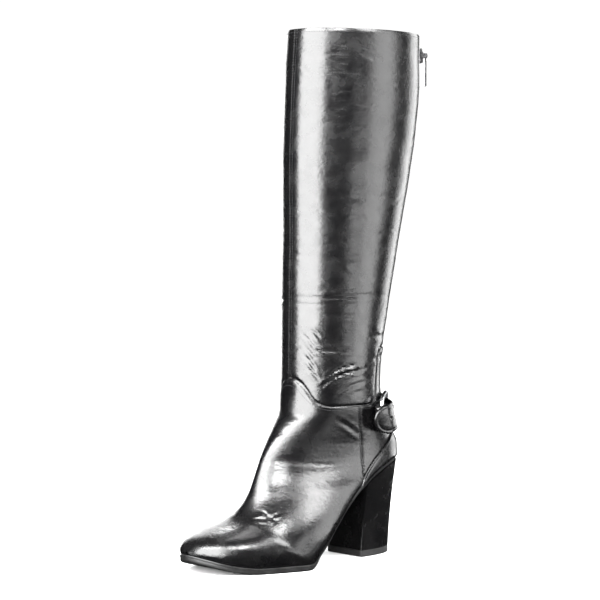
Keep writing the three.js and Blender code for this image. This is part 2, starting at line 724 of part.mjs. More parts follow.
function prong(grow) {
  const tip = [-barLong - PRONG_OVER, 0, barRadius + PRONG_RADIUS + FIT_GAP];
  const eye = barRadius + FIT_GAP;
  const rod = bar(buckleFrame, [barLong, 0, eye + PRONG_EYE / 2], tip, PRONG_RADIUS + grow);
  const ends = (half) => [[barLong, -half, 0], [barLong, half, 0]];
  const ring = bar(buckleFrame, ...ends(PRONG_RADIUS + grow), eye + PRONG_EYE + grow);
  return rod.add(ring).subtract(bar(buckleFrame, ...ends(2 * CLEAR), eye));
}

function buckleRing(grow) {
  return roundedLoop(buckleFrame, barLong, barHigh, BUCKLE_CORNER, barRadius + grow);
}

// Along the strap: turns from the back in degrees, lift as a share of the way from the boot up
// over the buckle's bar, half as a share of half the strap's width
const STRAP_ROWS = [
  { turn: -82, lift: 0, half: 0.55 },
  { turn: -76, lift: 0, half: 1 },
  { turn: 0, lift: 0, half: 1 },
  { turn: 30, lift: 0, half: 1 },
  { turn: 47, lift: 0.42, half: 1 },
  { turn: 61, lift: 1.02, half: 1 },
  { turn: 69, lift: 1.06, half: 1 },
  { turn: 74, lift: 0.98, half: 0.97 },
  { turn: 78, lift: 0.88, half: 0.80 },
  { turn: 81, lift: 0.80, half: 0.55 },
  { turn: 83, lift: 0.75, half: 0.28 },
];

// The chape is sewn down under the strap and loops round the front bar: shares of the bar's
// height over the boot
const CHAPE_ROWS = [
  { turn: 42, low: 0, high: 0 },
  { turn: 52, low: 0, high: 0.02 },
  { turn: 58, low: 0, high: 0.42 },
  { turn: 63, low: 0.02, high: 0.84 },
  { turn: 68, low: 0.12, high: 1.00 },
  { turn: 72, low: 0.30, high: 0.92 },
  { turn: 75, low: 0.72, high: 0.62 },
];

function ankleStrap() {
  const rows = STRAP_ROWS.map(({ turn, lift, half }) => {
    const low = STRAP_BASE + (loopHigh + FIT_GAP - STRAP_BASE) * lift;
    const sunk = lift ? 0 : STRAP_SUNK;
    return { turn, low: low - sunk, high: low + STRAP_THICKNESS, half: (STRAP_WIDTH / 2) * half };
  });
  const body = wrap(rows, strapHeight).subtract(form(STRAP_BASE));
  return body.subtract(buckleRing(FIT_GAP)).subtract(prong(FIT_GAP));
}

function buckleChape() {
  const half = STRAP_WIDTH / 2 - CHAPE_INSET;
  const rows = CHAPE_ROWS.map((row) => {
    const low = STRAP_BASE + (LOOP_LIFT - STRAP_BASE) * row.low - STRAP_SUNK;
    const top = STRAP_BASE + CHAPE_THICKNESS;
    return { turn: row.turn, low, high: top + (loopHigh - top) * row.high, half };
  });
  const body = wrap(rows, strapHeight).subtract(form(STRAP_BASE));
  return body.subtract(buckleRing(FIT_GAP)).subtract(prong(FIT_GAP));
}

// The zip lies beside the middle of the back: x is its distance from the middle
const ZIP_ASIDE = 17;
const TEETH_WIDTH = 6.4;
const TEETH_PROUD = 0.7;
const TAPE_WIDTH = 22;
const TAPE_THICKNESS = 0.8;
const SLOT_WIDTH = TEETH_WIDTH + 2 * FIT_GAP;
const ZIP_TOP_MARGIN = 6;
const GORE_FROM = -3;
const GORE_TO = -36;
const GORE_TOP_MARGIN = 12;
const GORE_INSET = 0.2;
const BACK_EDGE = ANKLE_HEIGHT + TAB_RISE;
const GORE_BOTTOM = BACK_EDGE + 6;
const ZIP_ROWS = 9;

// A patch of the shaft between two distances from the middle of the back
function backPatch([fromX, toX], [bottom, top], [inner, outer], across) {
  const ring = (height) => {
    const half = levelPoint(Math.PI / 2, height, 0).x;
    const point = (share, grow) => {
      const turn = Math.asin((fromX + (toX - fromX) * share) / half);
      return levelPoint(turn, height, grow).setZ(height).toArray();
    };
    const shares = Array.from({ length: across + 1 }, (_, i) => i / across);
    return [...shares.map((n) => point(n, inner)), ...shares.reverse().map((n) => point(n, outer))];
  };
  const heights = Array.from({ length: ZIP_ROWS + 1 }, (_, i) => bottom + ((top - bottom) * i) / ZIP_ROWS);
  return stack(heights.map(ring));
}

function zipBand(width) {
  return [ZIP_ASIDE - width / 2, ZIP_ASIDE + width / 2];
}

const inside = form(-SHAFT_WALL, CLEAR / 10);
const legForm = form(0);
const footForm = form(FOOT_STEP);

function upper() {
  const under = footCut((a) => seat(a) + FIT_GAP, -CLEAR);
  return footForm.subtract(inside).subtract(aboveTopLine(0)).subtract(under);
}

function shaft() {
  const deep = [-4 * SHAFT_WALL, 4 * SHAFT_WALL];
  const slot = backPatch(zipBand(SLOT_WIDTH), [BACK_EDGE - 4, BOOT_HEIGHT + 2], deep, 3);
  const window = backPatch([GORE_TO, GORE_FROM], [GORE_BOTTOM, BOOT_HEIGHT - GORE_TOP_MARGIN], deep, 5);
  return legForm.subtract(inside).intersect(aboveTopLine(FIT_GAP)).subtract(slot).subtract(window);
}

function gorePanel() {
  const across = [GORE_TO + FIT_GAP, GORE_FROM - FIT_GAP];
  const heights = [GORE_BOTTOM + FIT_GAP, BOOT_HEIGHT - GORE_TOP_MARGIN - FIT_GAP];
  const window = backPatch(across, heights, [-4 * SHAFT_WALL, 4 * SHAFT_WALL], 5);
  return form(-GORE_INSET).subtract(form(-SHAFT_WALL)).intersect(window);
}

function zipTeeth() {
  const heights = [BACK_EDGE + FIT_GAP, BOOT_HEIGHT - ZIP_TOP_MARGIN];
  return backPatch(zipBand(TEETH_WIDTH), heights, [-SHAFT_WALL + FIT_GAP, TEETH_PROUD], 3);
}

function zipTape() {
  const back = -SHAFT_WALL - FIT_GAP;
  const heights = [BACK_EDGE + FIT_GAP, BOOT_HEIGHT - ZIP_TOP_MARGIN / 2];
  const tape = backPatch(zipBand(TAPE_WIDTH), heights, [back - TAPE_THICKNESS, 0], 4);
  return tape.intersect(form(back, CLEAR / 10));
}

// The slider at the top of the zip, its bridge, and the pull tab that hangs from the bridge
const SLIDER_DROP = 18;
const SLIDER_WIDE = 10;
const SLIDER_HIGH = 13;
const SLIDER_THICK = 2.6;
const PIN_RADIUS = 0.8;
const PIN_CLEARANCE = 0.35;
const PULL_LENGTH = 28;
const PULL_WIDTH = 7;
const PULL_THICKNESS = 1.5;
const EYE_RADIUS = PIN_RADIUS + PIN_CLEARANCE + 1.1;
const EYE_HALF = 1.9;
const EAR_THICKNESS = 1.2;
const PIN_OUT = SLIDER_THICK + EYE_RADIUS + 2 * FIT_GAP;

const sliderHeight = BOOT_HEIGHT - SLIDER_DROP;
const sliderTurn = Math.asin(ZIP_ASIDE / levelPoint(Math.PI / 2, sliderHeight, 0).x);
const sliderFrame = surfaceFrame(sliderTurn, sliderHeight, TEETH_PROUD + FIT_GAP);

function zipSlider() {
  const half = SLIDER_WIDE / 2;
  const tall = SLIDER_HIGH / 2;
  const body = block(sliderFrame, [-half, half], [-tall, tall - 3], [0, SLIDER_THICK]);
  const nose = block(sliderFrame, [-half * 0.7, half * 0.7], [tall - 4, tall], [0, SLIDER_THICK * 0.8]);
  const ear = (u) => block(sliderFrame, [u, u + EAR_THICKNESS], [-2.2, 2.2],
    [SLIDER_THICK - 0.5, PIN_OUT + PIN_RADIUS + 0.6]);
  const inner = EYE_HALF + FIT_GAP;
  const pin = bar(sliderFrame, [-inner - 0.6, 0, PIN_OUT], [inner + 0.6, 0, PIN_OUT], PIN_RADIUS);
  return body.add(nose).add(ear(inner)).add(ear(-inner - EAR_THICKNESS)).add(pin);
}

// The pull hangs plumb, so its own frame stands upright at the pin
const pinCentre = new THREE.Vector3(...sliderFrame.at(0, 0, PIN_OUT));
const pullFrame = (() => {
  const along = sliderFrame.along.clone().setZ(0).normalize();
  const up = new THREE.Vector3(0, 0, 1);
  const out = up.clone().cross(along);
  const at = (u, v, w) => pinCentre.clone().addScaledVector(along, u).addScaledVector(up, v)
    .addScaledVector(out, w).toArray();
  return { along, up, out, at };
})();

function zipPull() {
  const eye = bar(pullFrame, [-EYE_HALF, 0, 0], [EYE_HALF, 0, 0], EYE_RADIUS);
  const neck = block(pullFrame, [-EYE_HALF, EYE_HALF], [-6, 0], [-PULL_THICKNESS / 2, PULL_THICKNESS / 2]);
  const half = PULL_WIDTH / 2;
  const tab = block(pullFrame, [-half, half], [-PULL_LENGTH, -5], [-PULL_THICKNESS / 2, PULL_THICKNESS / 2]);
  const hole = bar(pullFrame, [-CLEAR, 0, 0], [CLEAR, 0, 0], PIN_RADIUS + PIN_CLEARANCE);
  return eye.add(neck).add(tab).subtract(hole);
}

// Finishes
const leather = { color: 0x141416, roughness: 0.32, metalness: 0 };
const gloss = { color: 0x0d0d0f, roughness: 0.18, metalness: 0 };
const rubber = { color: 0x1b1b1c, roughness: 0.75, metalness: 0 };
const lining = { color: 0x8d8578, roughness: 0.8, metalness: 0 };
const elastic = { color: 0x1c1c1e, roughness: 0.9, metalness: 0 };
const metal = { color: 0xc8c8cc, roughness: 0.2, metalness: 1 };

const boot = new THREE.Group();

function add(name, solid, finish) {
  const { vertProperties, triVerts } = solid.getMesh();
  const geometry = new THREE.BufferGeometry();
  geometry.setAttribute('position', new THREE.BufferAttribute(new Float32Array(vertProperties), 3));
  geometry.setIndex(new THREE.BufferAttribute(new Uint32Array(triVerts), 1));
  geometry.computeVertexNormals();
  const mesh = new THREE.Mesh(geometry, new THREE.MeshStandardMaterial(finish));
  mesh.name = name;
  boot.add(mesh);
  return mesh;
}

add('upper', upper(), leather);
add('shaft', shaft(), leather);
add('heel_counter', heelCounter(), leather);
add('outsole', outsole(), rubber);
add('insole', insole(), lining);
add('heel_block', heelBlock(), gloss);
add('heel_top_lift', heelTopLift(), rubber);
add('stretch_panel', gorePanel(), elastic);
add('ankle_strap', ankleStrap(), leather);
add('buckle_chape', buckleChape(), leather);
add('buckle_frame', buckleRing(0), metal);
add('buckle_prong', prong(0), metal);
add('zip_tape', zipTape(), elastic);
add('zip_teeth', zipTeeth(), metal);
add('zip_slider', zipSlider(), metal);
add('zip_pull', zipPull(), metal);

export default boot;
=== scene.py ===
# Knee-high block-heel boot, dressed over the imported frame
import math

import bpy
import numpy as np
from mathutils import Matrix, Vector

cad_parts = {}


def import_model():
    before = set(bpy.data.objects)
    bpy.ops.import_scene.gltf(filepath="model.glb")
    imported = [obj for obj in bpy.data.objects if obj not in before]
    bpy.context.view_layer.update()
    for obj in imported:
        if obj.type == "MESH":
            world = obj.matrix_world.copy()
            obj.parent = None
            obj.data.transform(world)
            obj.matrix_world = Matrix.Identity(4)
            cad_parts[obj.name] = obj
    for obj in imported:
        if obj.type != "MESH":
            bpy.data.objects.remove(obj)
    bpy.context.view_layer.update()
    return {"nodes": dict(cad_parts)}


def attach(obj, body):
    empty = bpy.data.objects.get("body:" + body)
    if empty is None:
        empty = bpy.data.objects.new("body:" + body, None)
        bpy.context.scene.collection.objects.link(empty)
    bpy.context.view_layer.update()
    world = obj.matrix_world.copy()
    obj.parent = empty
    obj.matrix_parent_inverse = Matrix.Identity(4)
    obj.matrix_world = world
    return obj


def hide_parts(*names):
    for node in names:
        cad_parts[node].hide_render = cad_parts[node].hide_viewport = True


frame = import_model()

MM = 0.001

# Sizes of the last, the shaft and the walls, in millimetres, as in the part's own source
FOOT_LENGTH = 231
BALL_WIDTH = 90
HEEL_HEIGHT = 87
ANKLE_RISE = 73
TOE_SPRING = 11
BOOT_HEIGHT = 475
ANKLE_DEPTH = 98
ANKLE_WIDTH = 77
CALF_DEPTH = 143
CALF_WIDTH = 92
ANKLE_FORWARD = 72
SHAFT_LEAN = 28
SHAFT_WALL = 1.4
FOOT_STEP = 0.9
GAP = 0.3
WAIST_THICKNESS = 4
FOREFOOT_THICKNESS = 5.5
FOREFOOT_MARGIN = 1.7
WAIST_MARGIN = 0.3
HEEL_MARGIN = 0.5
COUNTER_THICKNESS = 1.1
TREAD_LENGTH = 48
TREAD_WIDTH = 47
TREAD_BACK = 7
BREAST_FORWARD = 58
LIFT_THICKNESS = 6
ANKLE_HEIGHT = HEEL_HEIGHT + ANKLE_RISE
SHAFT_HEIGHT = BOOT_HEIGHT - ANKLE_HEIGHT
ORIGIN_FORWARD = TREAD_BACK + TREAD_LENGTH / 2

# The sole's underside: shares of the foot's length, the heel height and the toe spring
TREAD_LINE_KEYS = ("along", "heel", "toe")
TREAD_LINE = (
    (-0.10, 1.025, 0),
    (0.00, 1.000, 0),
    (0.11, 0.935, 0),
    (0.24, 0.795, 0),
    (0.34, 0.605, 0),
    (0.42, 0.400, 0),
    (0.49, 0.195, 0),
    (0.535, 0.070, 0),
    (0.585, 0, 0),
    (0.79, 0, 0),
    (0.87, 0, 0.18),
    (0.93, 0, 0.48),
    (1.00, 0, 1.00),
    (1.10, 0, 1.90),
)

# Level sections of the shaft from the collar down: up, depth, width, back
SHAFT_ROWS_KEYS = ("up", "depth", "width", "back")
SHAFT_ROWS = (
    (1.00, 0.93, 0.97, 1.02),
    (0.86, 1.00, 1.00, 0.97),
    (0.72, 0.94, 0.93, 0.85),
    (0.58, 0.78, 0.78, 0.68),
    (0.44, 0.54, 0.58, 0.50),
    (0.31, 0.35, 0.42, 0.33),
    (0.19, 0.18, 0.27, 0.17),
    (0.09, 0.06, 0.13, 0.06),
    (0.00, 0.00, 0.02, 0.00),
)

# Fanned sections of the foot: top along and tall, low along and tall, out, in, widest
# point, ridge and under exponents, shift, tip
FOOT_ROWS_KEYS = (
    "topAlong", "topTall", "lowAlong", "lowTall", "out", "in", "wide", "ridge", "under", "shift", "tip",
)
FOOT_ROWS = (
    (0.532, 0.810, 0.078, 0.330, 0.412, 0.412, 0.50, 2.00, 2.00, 0.00, 0),
    (0.562, 0.780, 0.052, 0.235, 0.392, 0.392, 0.47, 1.95, 2.05, 0.00, 0),
    (0.596, 0.730, 0.026, 0.158, 0.376, 0.376, 0.44, 1.88, 2.10, 0.00, 0),
    (0.628, 0.668, 0.004, 0.092, 0.364, 0.362, 0.40, 1.82, 2.15, 0.00, 0),
    (0.657, 0.600, 0.006, 0.022, 0.360, 0.354, 0.36, 1.78, 2.25, 0.00, 0),
    (0.682, 0.532, 0.060, 0.003, 0.368, 0.350, 0.33, 1.76, 2.40, 0.01, 0),
    (0.704, 0.468, 0.150, -0.005, 0.390, 0.350, 0.30, 1.76, 2.60, 0.02, 0),
    (0.724, 0.410, 0.240, -0.005, 0.425, 0.356, 0.28, 1.78, 2.80, 0.03, 0),
    (0.744, 0.360, 0.325, -0.005, 0.470, 0.376, 0.27, 1.82, 2.80, 0.03, 0),
    (0.765, 0.320, 0.410, -0.006, 0.525, 0.410, 0.27, 1.86, 2.90, 0.02, 0),
    (0.787, 0.292, 0.490, -0.008, 0.560, 0.450, 0.28, 1.90, 3.00, 0.00, 0),
    (0.809, 0.270, 0.570, -0.006, 0.566, 0.484, 0.30, 1.95, 3.00, -0.015, 0),
    (0.832, 0.251, 0.650, -0.004, 0.536, 0.500, 0.33, 2.00, 3.00, -0.025, 0.05),
    (0.857, 0.232, 0.730, -0.002, 0.496, 0.488, 0.35, 2.05, 3.00, -0.035, 0.12),
    (0.884, 0.212, 0.803, 0.000, 0.447, 0.448, 0.38, 2.10, 2.95, -0.045, 0.22),
    (0.912, 0.188, 0.870, 0.002, 0.384, 0.390, 0.41, 2.15, 2.85, -0.055, 0.36),
    (0.941, 0.160, 0.924, 0.005, 0.310, 0.315, 0.44, 2.15, 2.65, -0.062, 0.52),
    (0.967, 0.128, 0.964, 0.012, 0.225, 0.228, 0.47, 2.10, 2.35, -0.068, 0.70),
    (0.988, 0.094, 0.990, 0.024, 0.128, 0.128, 0.50, 2.00, 2.00, -0.070, 0.86),
    (1.000, 0.058, 1.000, 0.036, 0.024, 0.024, 0.50, 2.00, 2.00, -0.070, 1),
)

# Fineness of the sheets
AROUND = 256
ROW_STEP = 1.7
HALVINGS = 40


def between(places, values):
    """Numbers between the rows of a table, smooth and without overshoot."""
    places = np.asarray(places, float)
    values = np.asarray(values, float)
    steps = np.diff(values) / np.diff(places)
    product = steps[:-1] * steps[1:]
    total = steps[:-1] + steps[1:]
    slopes = np.zeros(len(values))
    slopes[0] = steps[0]
    slopes[-1] = steps[-1]
    slopes[1:-1] = np.where(product > 0, 2 * product / np.where(total == 0, 1, total), 0)

    def at(where):
        where = np.asarray(where, float)
        i = np.clip(np.searchsorted(places, where, side="right") - 1, 0, len(places) - 2)
        span = places[i + 1] - places[i]
        s = np.clip((where - places[i]) / span, 0, 1)
        bend = s * s * (3 - 2 * s)
        first = s * (1 - s) * (1 - s) * slopes[i]
        last = s * s * (s - 1) * slopes[i + 1]
        return values[i] + (values[i + 1] - values[i]) * bend + span * (first + last)

    return at


def columns(keys, rows):
    """A table's columns by name."""
    return {key: np.array([row[i] for row in rows], float) for i, key in enumerate(keys)}


def smoothstep(low, high, value):
    s = np.clip((value - low) / (high - low), 0, 1)
    return s * s * (3 - 2 * s)


TREAD = columns(TREAD_LINE_KEYS, TREAD_LINE)
tread_heel = between(TREAD["along"], TREAD["heel"])
tread_toe = between(TREAD["along"], TREAD["toe"])


def tread(forward):
    """Height of the sole's underside."""
    along = np.asarray(forward) / FOOT_LENGTH
    return HEEL_HEIGHT * tread_heel(along) + TOE_SPRING * tread_toe(along)


def sole_thickness(forward):
    share = smoothstep(0.45, 0.66, np.asarray(forward) / FOOT_LENGTH)
    return WAIST_THICKNESS + (FOREFOOT_THICKNESS - WAIST_THICKNESS) * share


def seat(forward):
    """Height of the sole's top, where the upper is seated."""
    return tread(forward) + sole_thickness(forward)


def all_sections():
    """The sizes of every section, in millimetres, from the collar to the toe."""
    leg = columns(SHAFT_ROWS_KEYS, SHAFT_ROWS)
    foot = columns(FOOT_ROWS_KEYS, FOOT_ROWS)
    depth = ANKLE_DEPTH + (CALF_DEPTH - ANKLE_DEPTH) * leg["depth"]
    half = (ANKLE_WIDTH + (CALF_WIDTH - ANKLE_WIDTH) * leg["width"]) / 2
    middle = ANKLE_FORWARD - SHAFT_LEAN * leg["back"]
    height = ANKLE_HEIGHT + SHAFT_HEIGHT * leg["up"]
    plain = np.ones(len(height))
    top_a = FOOT_LENGTH * foot["topAlong"]
    low_a = FOOT_LENGTH * foot["lowAlong"]
    pairs = {
        "topA": (middle + depth / 2, top_a),
        "topZ": (height, tread(top_a) + ANKLE_HEIGHT * foot["topTall"]),
        "lowA": (middle - depth / 2, low_a),
        "lowZ": (height, tread(low_a) + ANKLE_HEIGHT * foot["lowTall"]),
        "out": (half, BALL_WIDTH * foot["out"]),
        "in": (half, BALL_WIDTH * foot["in"]),
        "wide": (0.5 * plain, foot["wide"]),
        "ridge": (2 * plain, foot["ridge"]),
        "under": (2 * plain, foot["under"]),
        "shift": (0 * plain, BALL_WIDTH * foot["shift"]),
        "tip": (0 * plain, foot["tip"]),
    }
    return {key: np.concatenate(pair) for key, pair in pairs.items()}


SECTIONS = all_sections()
LAST_SECTION = len(SHAFT_ROWS) + len(FOOT_ROWS) - 1
SECTION_AT = {key: between(range(LAST_SECTION + 1), values) for key, values in SECTIONS.items()}


def form_point(place, angle, grow):
    """Points of the boot's form grown by a distance: x, forward and up, in millimetres."""
    cut = {key: at(place) for key, at in SECTION_AT.items()}
    reach = np.hypot(cut["topA"] - cut["lowA"], cut["topZ"] - cut["lowZ"])
    way_a = (cut["topA"] - cut["lowA"]) / reach
    way_z = (cut["topZ"] - cut["lowZ"]) / reach
    c = np.cos(angle)
    s = np.sin(angle)
    power = 2 / np.where(c >= 0, cut["ridge"], cut["under"])
    sideways = grow * np.sqrt(np.clip(1 - cut["tip"] ** 2, 0, 1))
    half = reach * np.where(c >= 0, 1 - cut["wide"], cut["wide"]) + sideways
    along = reach * cut["wide"] + np.sign(c) * np.abs(c) ** power * half
    wide = np.where(s >= 0, cut["out"], cut["in"]) + sideways
    x = cut["shift"] + np.sign(s) * np.abs(s) ** power * wide
    a = cut["lowA"] + way_a * along + grow * cut["tip"]
    z = cut["lowZ"] + way_z * along
    return np.stack([x, a, z], -1)


def form_at(uv, grow):
    return form_point(uv[:, 0], uv[:, 1], grow)


def placed(points):
    """Points of x, forward and up in the boot's frame, in metres."""
    x, a, z = np.moveaxis(np.asarray(points, float), -1, 0)
    return np.stack([x, ORIGIN_FORWARD - a, z], -1) * MM



def halved(first, last, holds):
    """The last value from first to last for which a test holds, found by halving."""
    for _ in range(HALVINGS):
        middle = (first + last) / 2
        held = holds(middle)
        first = np.where(held, middle, first)
        last = np.where(held, last, middle)
    return first


# Surfaces in place and angle: points uv and triangles, cut to shape before they get a thickness


def grid(places, angles):
    p, a = np.meshgrid(places, angles, indexing="ij")
    rows, cols = p.shape
    i = (np.arange(rows - 1)[:, None] * cols + np.arange(cols - 1)).ravel()
    tris = np.concatenate([np.stack([i, i + 1, i + cols + 1], 1), np.stack([i, i + cols + 1, i + cols], 1)])
    return np.stack([p.ravel(), a.ravel()], 1), tris


def even_places(first, last, step):
    """Places between two sections, an even step apart on the surface."""
    dense = np.linspace(first, last, 1500)
    lines = [form_point(dense, np.full_like(dense, turn), 0) for turn in (0, 1, 2, math.pi)]
    steps = np.mean([np.linalg.norm(np.diff(line, axis=0), axis=1) for line in lines], axis=0)
    length = np.concatenate([[0], np.cumsum(steps)])
    return np.interp(np.linspace(0, length[-1], int(length[-1] / step) + 2), length, dense)


def split(uv, tris, values):
    """Triangles cut along a function's zero line: points, triangles and which are positive."""
    sign = values > 0
    count = sign[tris].sum(1)
    mixed = (count == 1) | (count == 2)
    part = tris[mixed]
    lone = sign[part] == (count[mixed] == 1)[:, None]
    order = (lone.argmax(1)[:, None] + np.arange(3)) % 3
    a, b, c = np.take_along_axis(part, order, 1).T
    pairs = np.sort(np.concatenate([np.stack([a, b], 1), np.stack([a, c], 1)]), 1)
    pairs, back = np.unique(pairs, axis=0, return_inverse=True)
    back = back.reshape(-1) + len(uv)
    first, last = values[pairs[:, 0]], values[pairs[:, 1]]
    fresh = uv[pairs[:, 0]] + (uv[pairs[:, 1]] - uv[pairs[:, 0]]) * (first / (first - last))[:, None]
    ab, ac = back[: len(a)], back[len(a):]
    parts = [tris[~mixed], np.stack([a, ab, ac], 1), np.stack([ab, b, c], 1), np.stack([ab, c, ac], 1)]
    positive = np.concatenate([count[~mixed] == 3, sign[a], ~sign[a], ~sign[a]])
    return np.concatenate([uv, fresh]), np.concatenate(parts), positive, np.stack([ab, ac], 1)


def trim(surface, keep, bands=()):
    """The part of a surface where keep is positive, with more edges at some distances."""
    uv, tris = surface
    for level in (0, *bands):
        uv, tris, positive, _ = split(uv, tris, keep(uv) - level)
        if level == 0:
            tris = tris[positive]
    used, tris = np.unique(tris, return_inverse=True)
    return uv[used], tris.reshape(-1, 3)


def contours(surface, values, shortest=12):
    """The zero lines of a function on a surface, each as points in place and angle."""
    uv, tris = surface
    fresh_uv, _, _, links = split(uv, tris, values(uv))
    near = {}
    for i, j in links.tolist():
        near.setdefault(i, []).append(j)
        near.setdefault(j, []).append(i)
    seen = set()
    lines = []
    for start in sorted(near, key=lambda i: len(near[i])):
        if start in seen:
            continue
        line = [start]
        seen.add(start)
        while True:
            onward = [j for j in near[line[-1]] if j not in seen]
            if not onward:
                break
            line.append(onward[0])
            seen.add(onward[0])
        if len(line) >= shortest:
            lines.append(fresh_uv[line])
    return lines


def mesh_object(name, points, faces, material, body="boot", sharp=50):
    """An object of points in metres and faces, riding on a body."""
    mesh = bpy.data.meshes.new(name)
    mesh.from_pydata([tuple(p) for p in np.asarray(points)], [], [tuple(map(int, f)) for f in faces])
    mesh.update()
    mesh.shade_smooth()
    mesh.set_sharp_from_angle(angle=math.radians(sharp))
    made = bpy.data.objects.new(name, mesh)
    bpy.context.scene.collection.objects.link(made)
    made.data.materials.append(material)
    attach(made, body)
    return made


def welded(points):
    """First point of each group that lies at one spot, and where every point went."""
    keys = np.round(points / 1e-3).astype(np.int64)
    _, first, back = np.unique(keys, axis=0, return_index=True, return_inverse=True)
    return first, back.reshape(-1)


def rims(tris):
    """Directed edges that belong to one triangle only."""
    edges = np.concatenate([tris[:, [0, 1]], tris[:, [1, 2]], tris[:, [2, 0]]])
    key = np.sort(edges, 1)
    _, first, count = np.unique(key, axis=0, return_index=True, return_counts=True)
    return edges[first[count == 1]]


def rounded(depth, radius):
    """How far an edge falls away at a distance from its rim."""
    reach = np.clip(radius - depth, 0, radius)
    return radius - np.sqrt(radius * radius - reach * reach)


def sheet_mesh(surface, outer, inner, depth, edge_radius, closed=True, shape=None):
    """A sheet between two growths of the form, its rims rounded, and walled or fully closed."""
    uv, tris = surface
    shape = shape or form_at
    top = shape(uv, outer(uv) - rounded(depth(uv), edge_radius))
    low = shape(uv, inner(uv))
    first, back = welded(shape(uv, 0))
    top, low, tris = top[first], low[first], back[tris]
    tris = tris[(tris[:, 0] != tris[:, 1]) & (tris[:, 1] != tris[:, 2]) & (tris[:, 2] != tris[:, 0])]
    corner = placed(top)
    normal = np.cross(corner[tris[:, 1]] - corner[tris[:, 0]], corner[tris[:, 2]] - corner[tris[:, 0]])
    lift = placed(top)[tris[:, 0]] - placed(low)[tris[:, 0]]
    if (normal * lift).sum() < 0:
        tris = tris[:, ::-1]
    count = len(top)
    edge = rims(tris)
    i, j = edge.T
    walls = [np.stack([j, i, i + count], 1), np.stack([j, i + count, j + count], 1)]
    under = [tris[:, ::-1] + count] if closed else []
    return placed(np.concatenate([top, low])), np.concatenate([tris, *walls, *under])


def line_distance(points, line):
    """Signed distance of 2-D points from an open line: positive on the left of its way."""
    points = np.asarray(points, float)
    line = np.asarray(line, float)
    best = np.full(len(points), np.inf)
    side = np.ones(len(points))
    for p, q in zip(line[:-1], line[1:]):
        way = q - p
        share = np.clip(((points - p) @ way) / (way @ way), 0, 1)
        off = points - p - share[:, None] * way
        far = np.hypot(off[:, 0], off[:, 1])
        turn = way[0] * (points[:, 1] - p[1]) - way[1] * (points[:, 0] - p[0])
        nearer = far < best - 1e-9
        best[nearer] = far[nearer]
        side[nearer] = np.where(turn[nearer] >= 0, 1, -1)
    return best * side


# Relief of the leather: soft troughs and ridges in place and angle, sizes in millimetres.
# Each crease has its points (place, turn in degrees), its width, its depth and its ridge's share.
# Turns count from the shin round the outer side to the back.
CREASES = (
    (((5.52, -2), (5.54, 40), (5.50, 90), (5.56, 142)), 1.7, 0.75, 0.9),
    (((5.70, 10), (5.66, 44), (5.68, 70)), 2.2, 0.3, 0.6),
    (((5.92, 48), (5.99, 68), (5.95, 92)), 1.7, 0.45, 0.8),
    (((6.80, 30), (6.96, 52), (6.93, 76)), 1.7, 0.7, 0.8),
    (((8.05, 44), (7.74, 62), (7.60, 82), (7.55, 100)), 1.6, 1.15, 0.9),
    (((7.80, 48), (7.50, 66), (7.36, 90)), 1.5, 0.95, 0.8),
    (((8.35, 62), (8.05, 84), (7.92, 108)), 1.8, 0.7, 0.7),
    (((6.45, 18), (6.60, 26), (6.85, 34)), 1.3, 0.4, 0.8),
    (((6.75, 20), (6.95, 28), (7.20, 36)), 1.3, 0.4, 0.8),
    (((7.05, 20), (7.30, 30), (7.60, 38)), 1.4, 0.45, 0.8),
    (((7.40, 24), (7.65, 34), (7.85, 42)), 1.4, 0.4, 0.8),
    (((6.30, 24), (6.42, 34), (6.62, 42)), 1.3, 0.35, 0.8),
    (((6.5, 100), (6.6, 120), (6.55, 150)), 2.2, 0.5, 0.7),
    (((7.3, 112), (7.2, 130), (7.3, 160)), 2.2, 0.5, 0.7),
    (((4.60, 20), (4.65, 60), (4.60, 110)), 3.0, 0.3, 0.5),
    (((3.30, 30), (3.40, 80), (3.35, 130)), 3.5, 0.3, 0.5),
    (((5.60, -12), (5.70, -70), (5.60, -130)), 2.2, 0.7, 0.8),
    (((6.70, -25), (6.80, -60), (6.70, -110)), 2.0, 0.6, 0.8),
    (((8.00, -40), (7.70, -70), (7.50, -110)), 2.2, 0.7, 0.8),
    (((4.50, -30), (4.60, -90), (4.50, -150)), 3.5, 0.4, 0.5),
    (((10.8, -30), (10.9, 0), (10.8, 34)), 3.0, 0.2, 0.6),
    (((12.9, 14), (13.2, 42), (13.6, 66)), 3.0, 0.2, 0.6),
    (((17.7, 24), (18.2, 33), (18.5, 42)), 1.5, 0.45, 0.9),
    (((18.7, 26), (18.3, 34), (17.7, 41)), 1.5, 0.45, 0.9),
    (((19.0, 20), (18.65, 30), (18.5, 40)), 1.5, 0.3, 0.8),
    (((18.4, -46), (18.7, -28), (18.6, -8)), 2.0, 0.4, 0.7),
    (((9.6, 62), (10.3, 76), (11.2, 88)), 2.2, 0.35, 0.6),
)
WRINKLES = 190
SWELLS = 46
RELIEF_SEED = 7
SEAM_DEPTH = 0.35
SEAM_WIDTH = 1.3


def smooth_line(points, count=40):
    """A smooth line through a few points."""
    points = np.asarray(points, float)
    knots = np.arange(len(points))
    at = np.linspace(0, len(points) - 1, count)
    return np.stack([between(knots, points[:, k])(at) for k in range(points.shape[1])], 1)


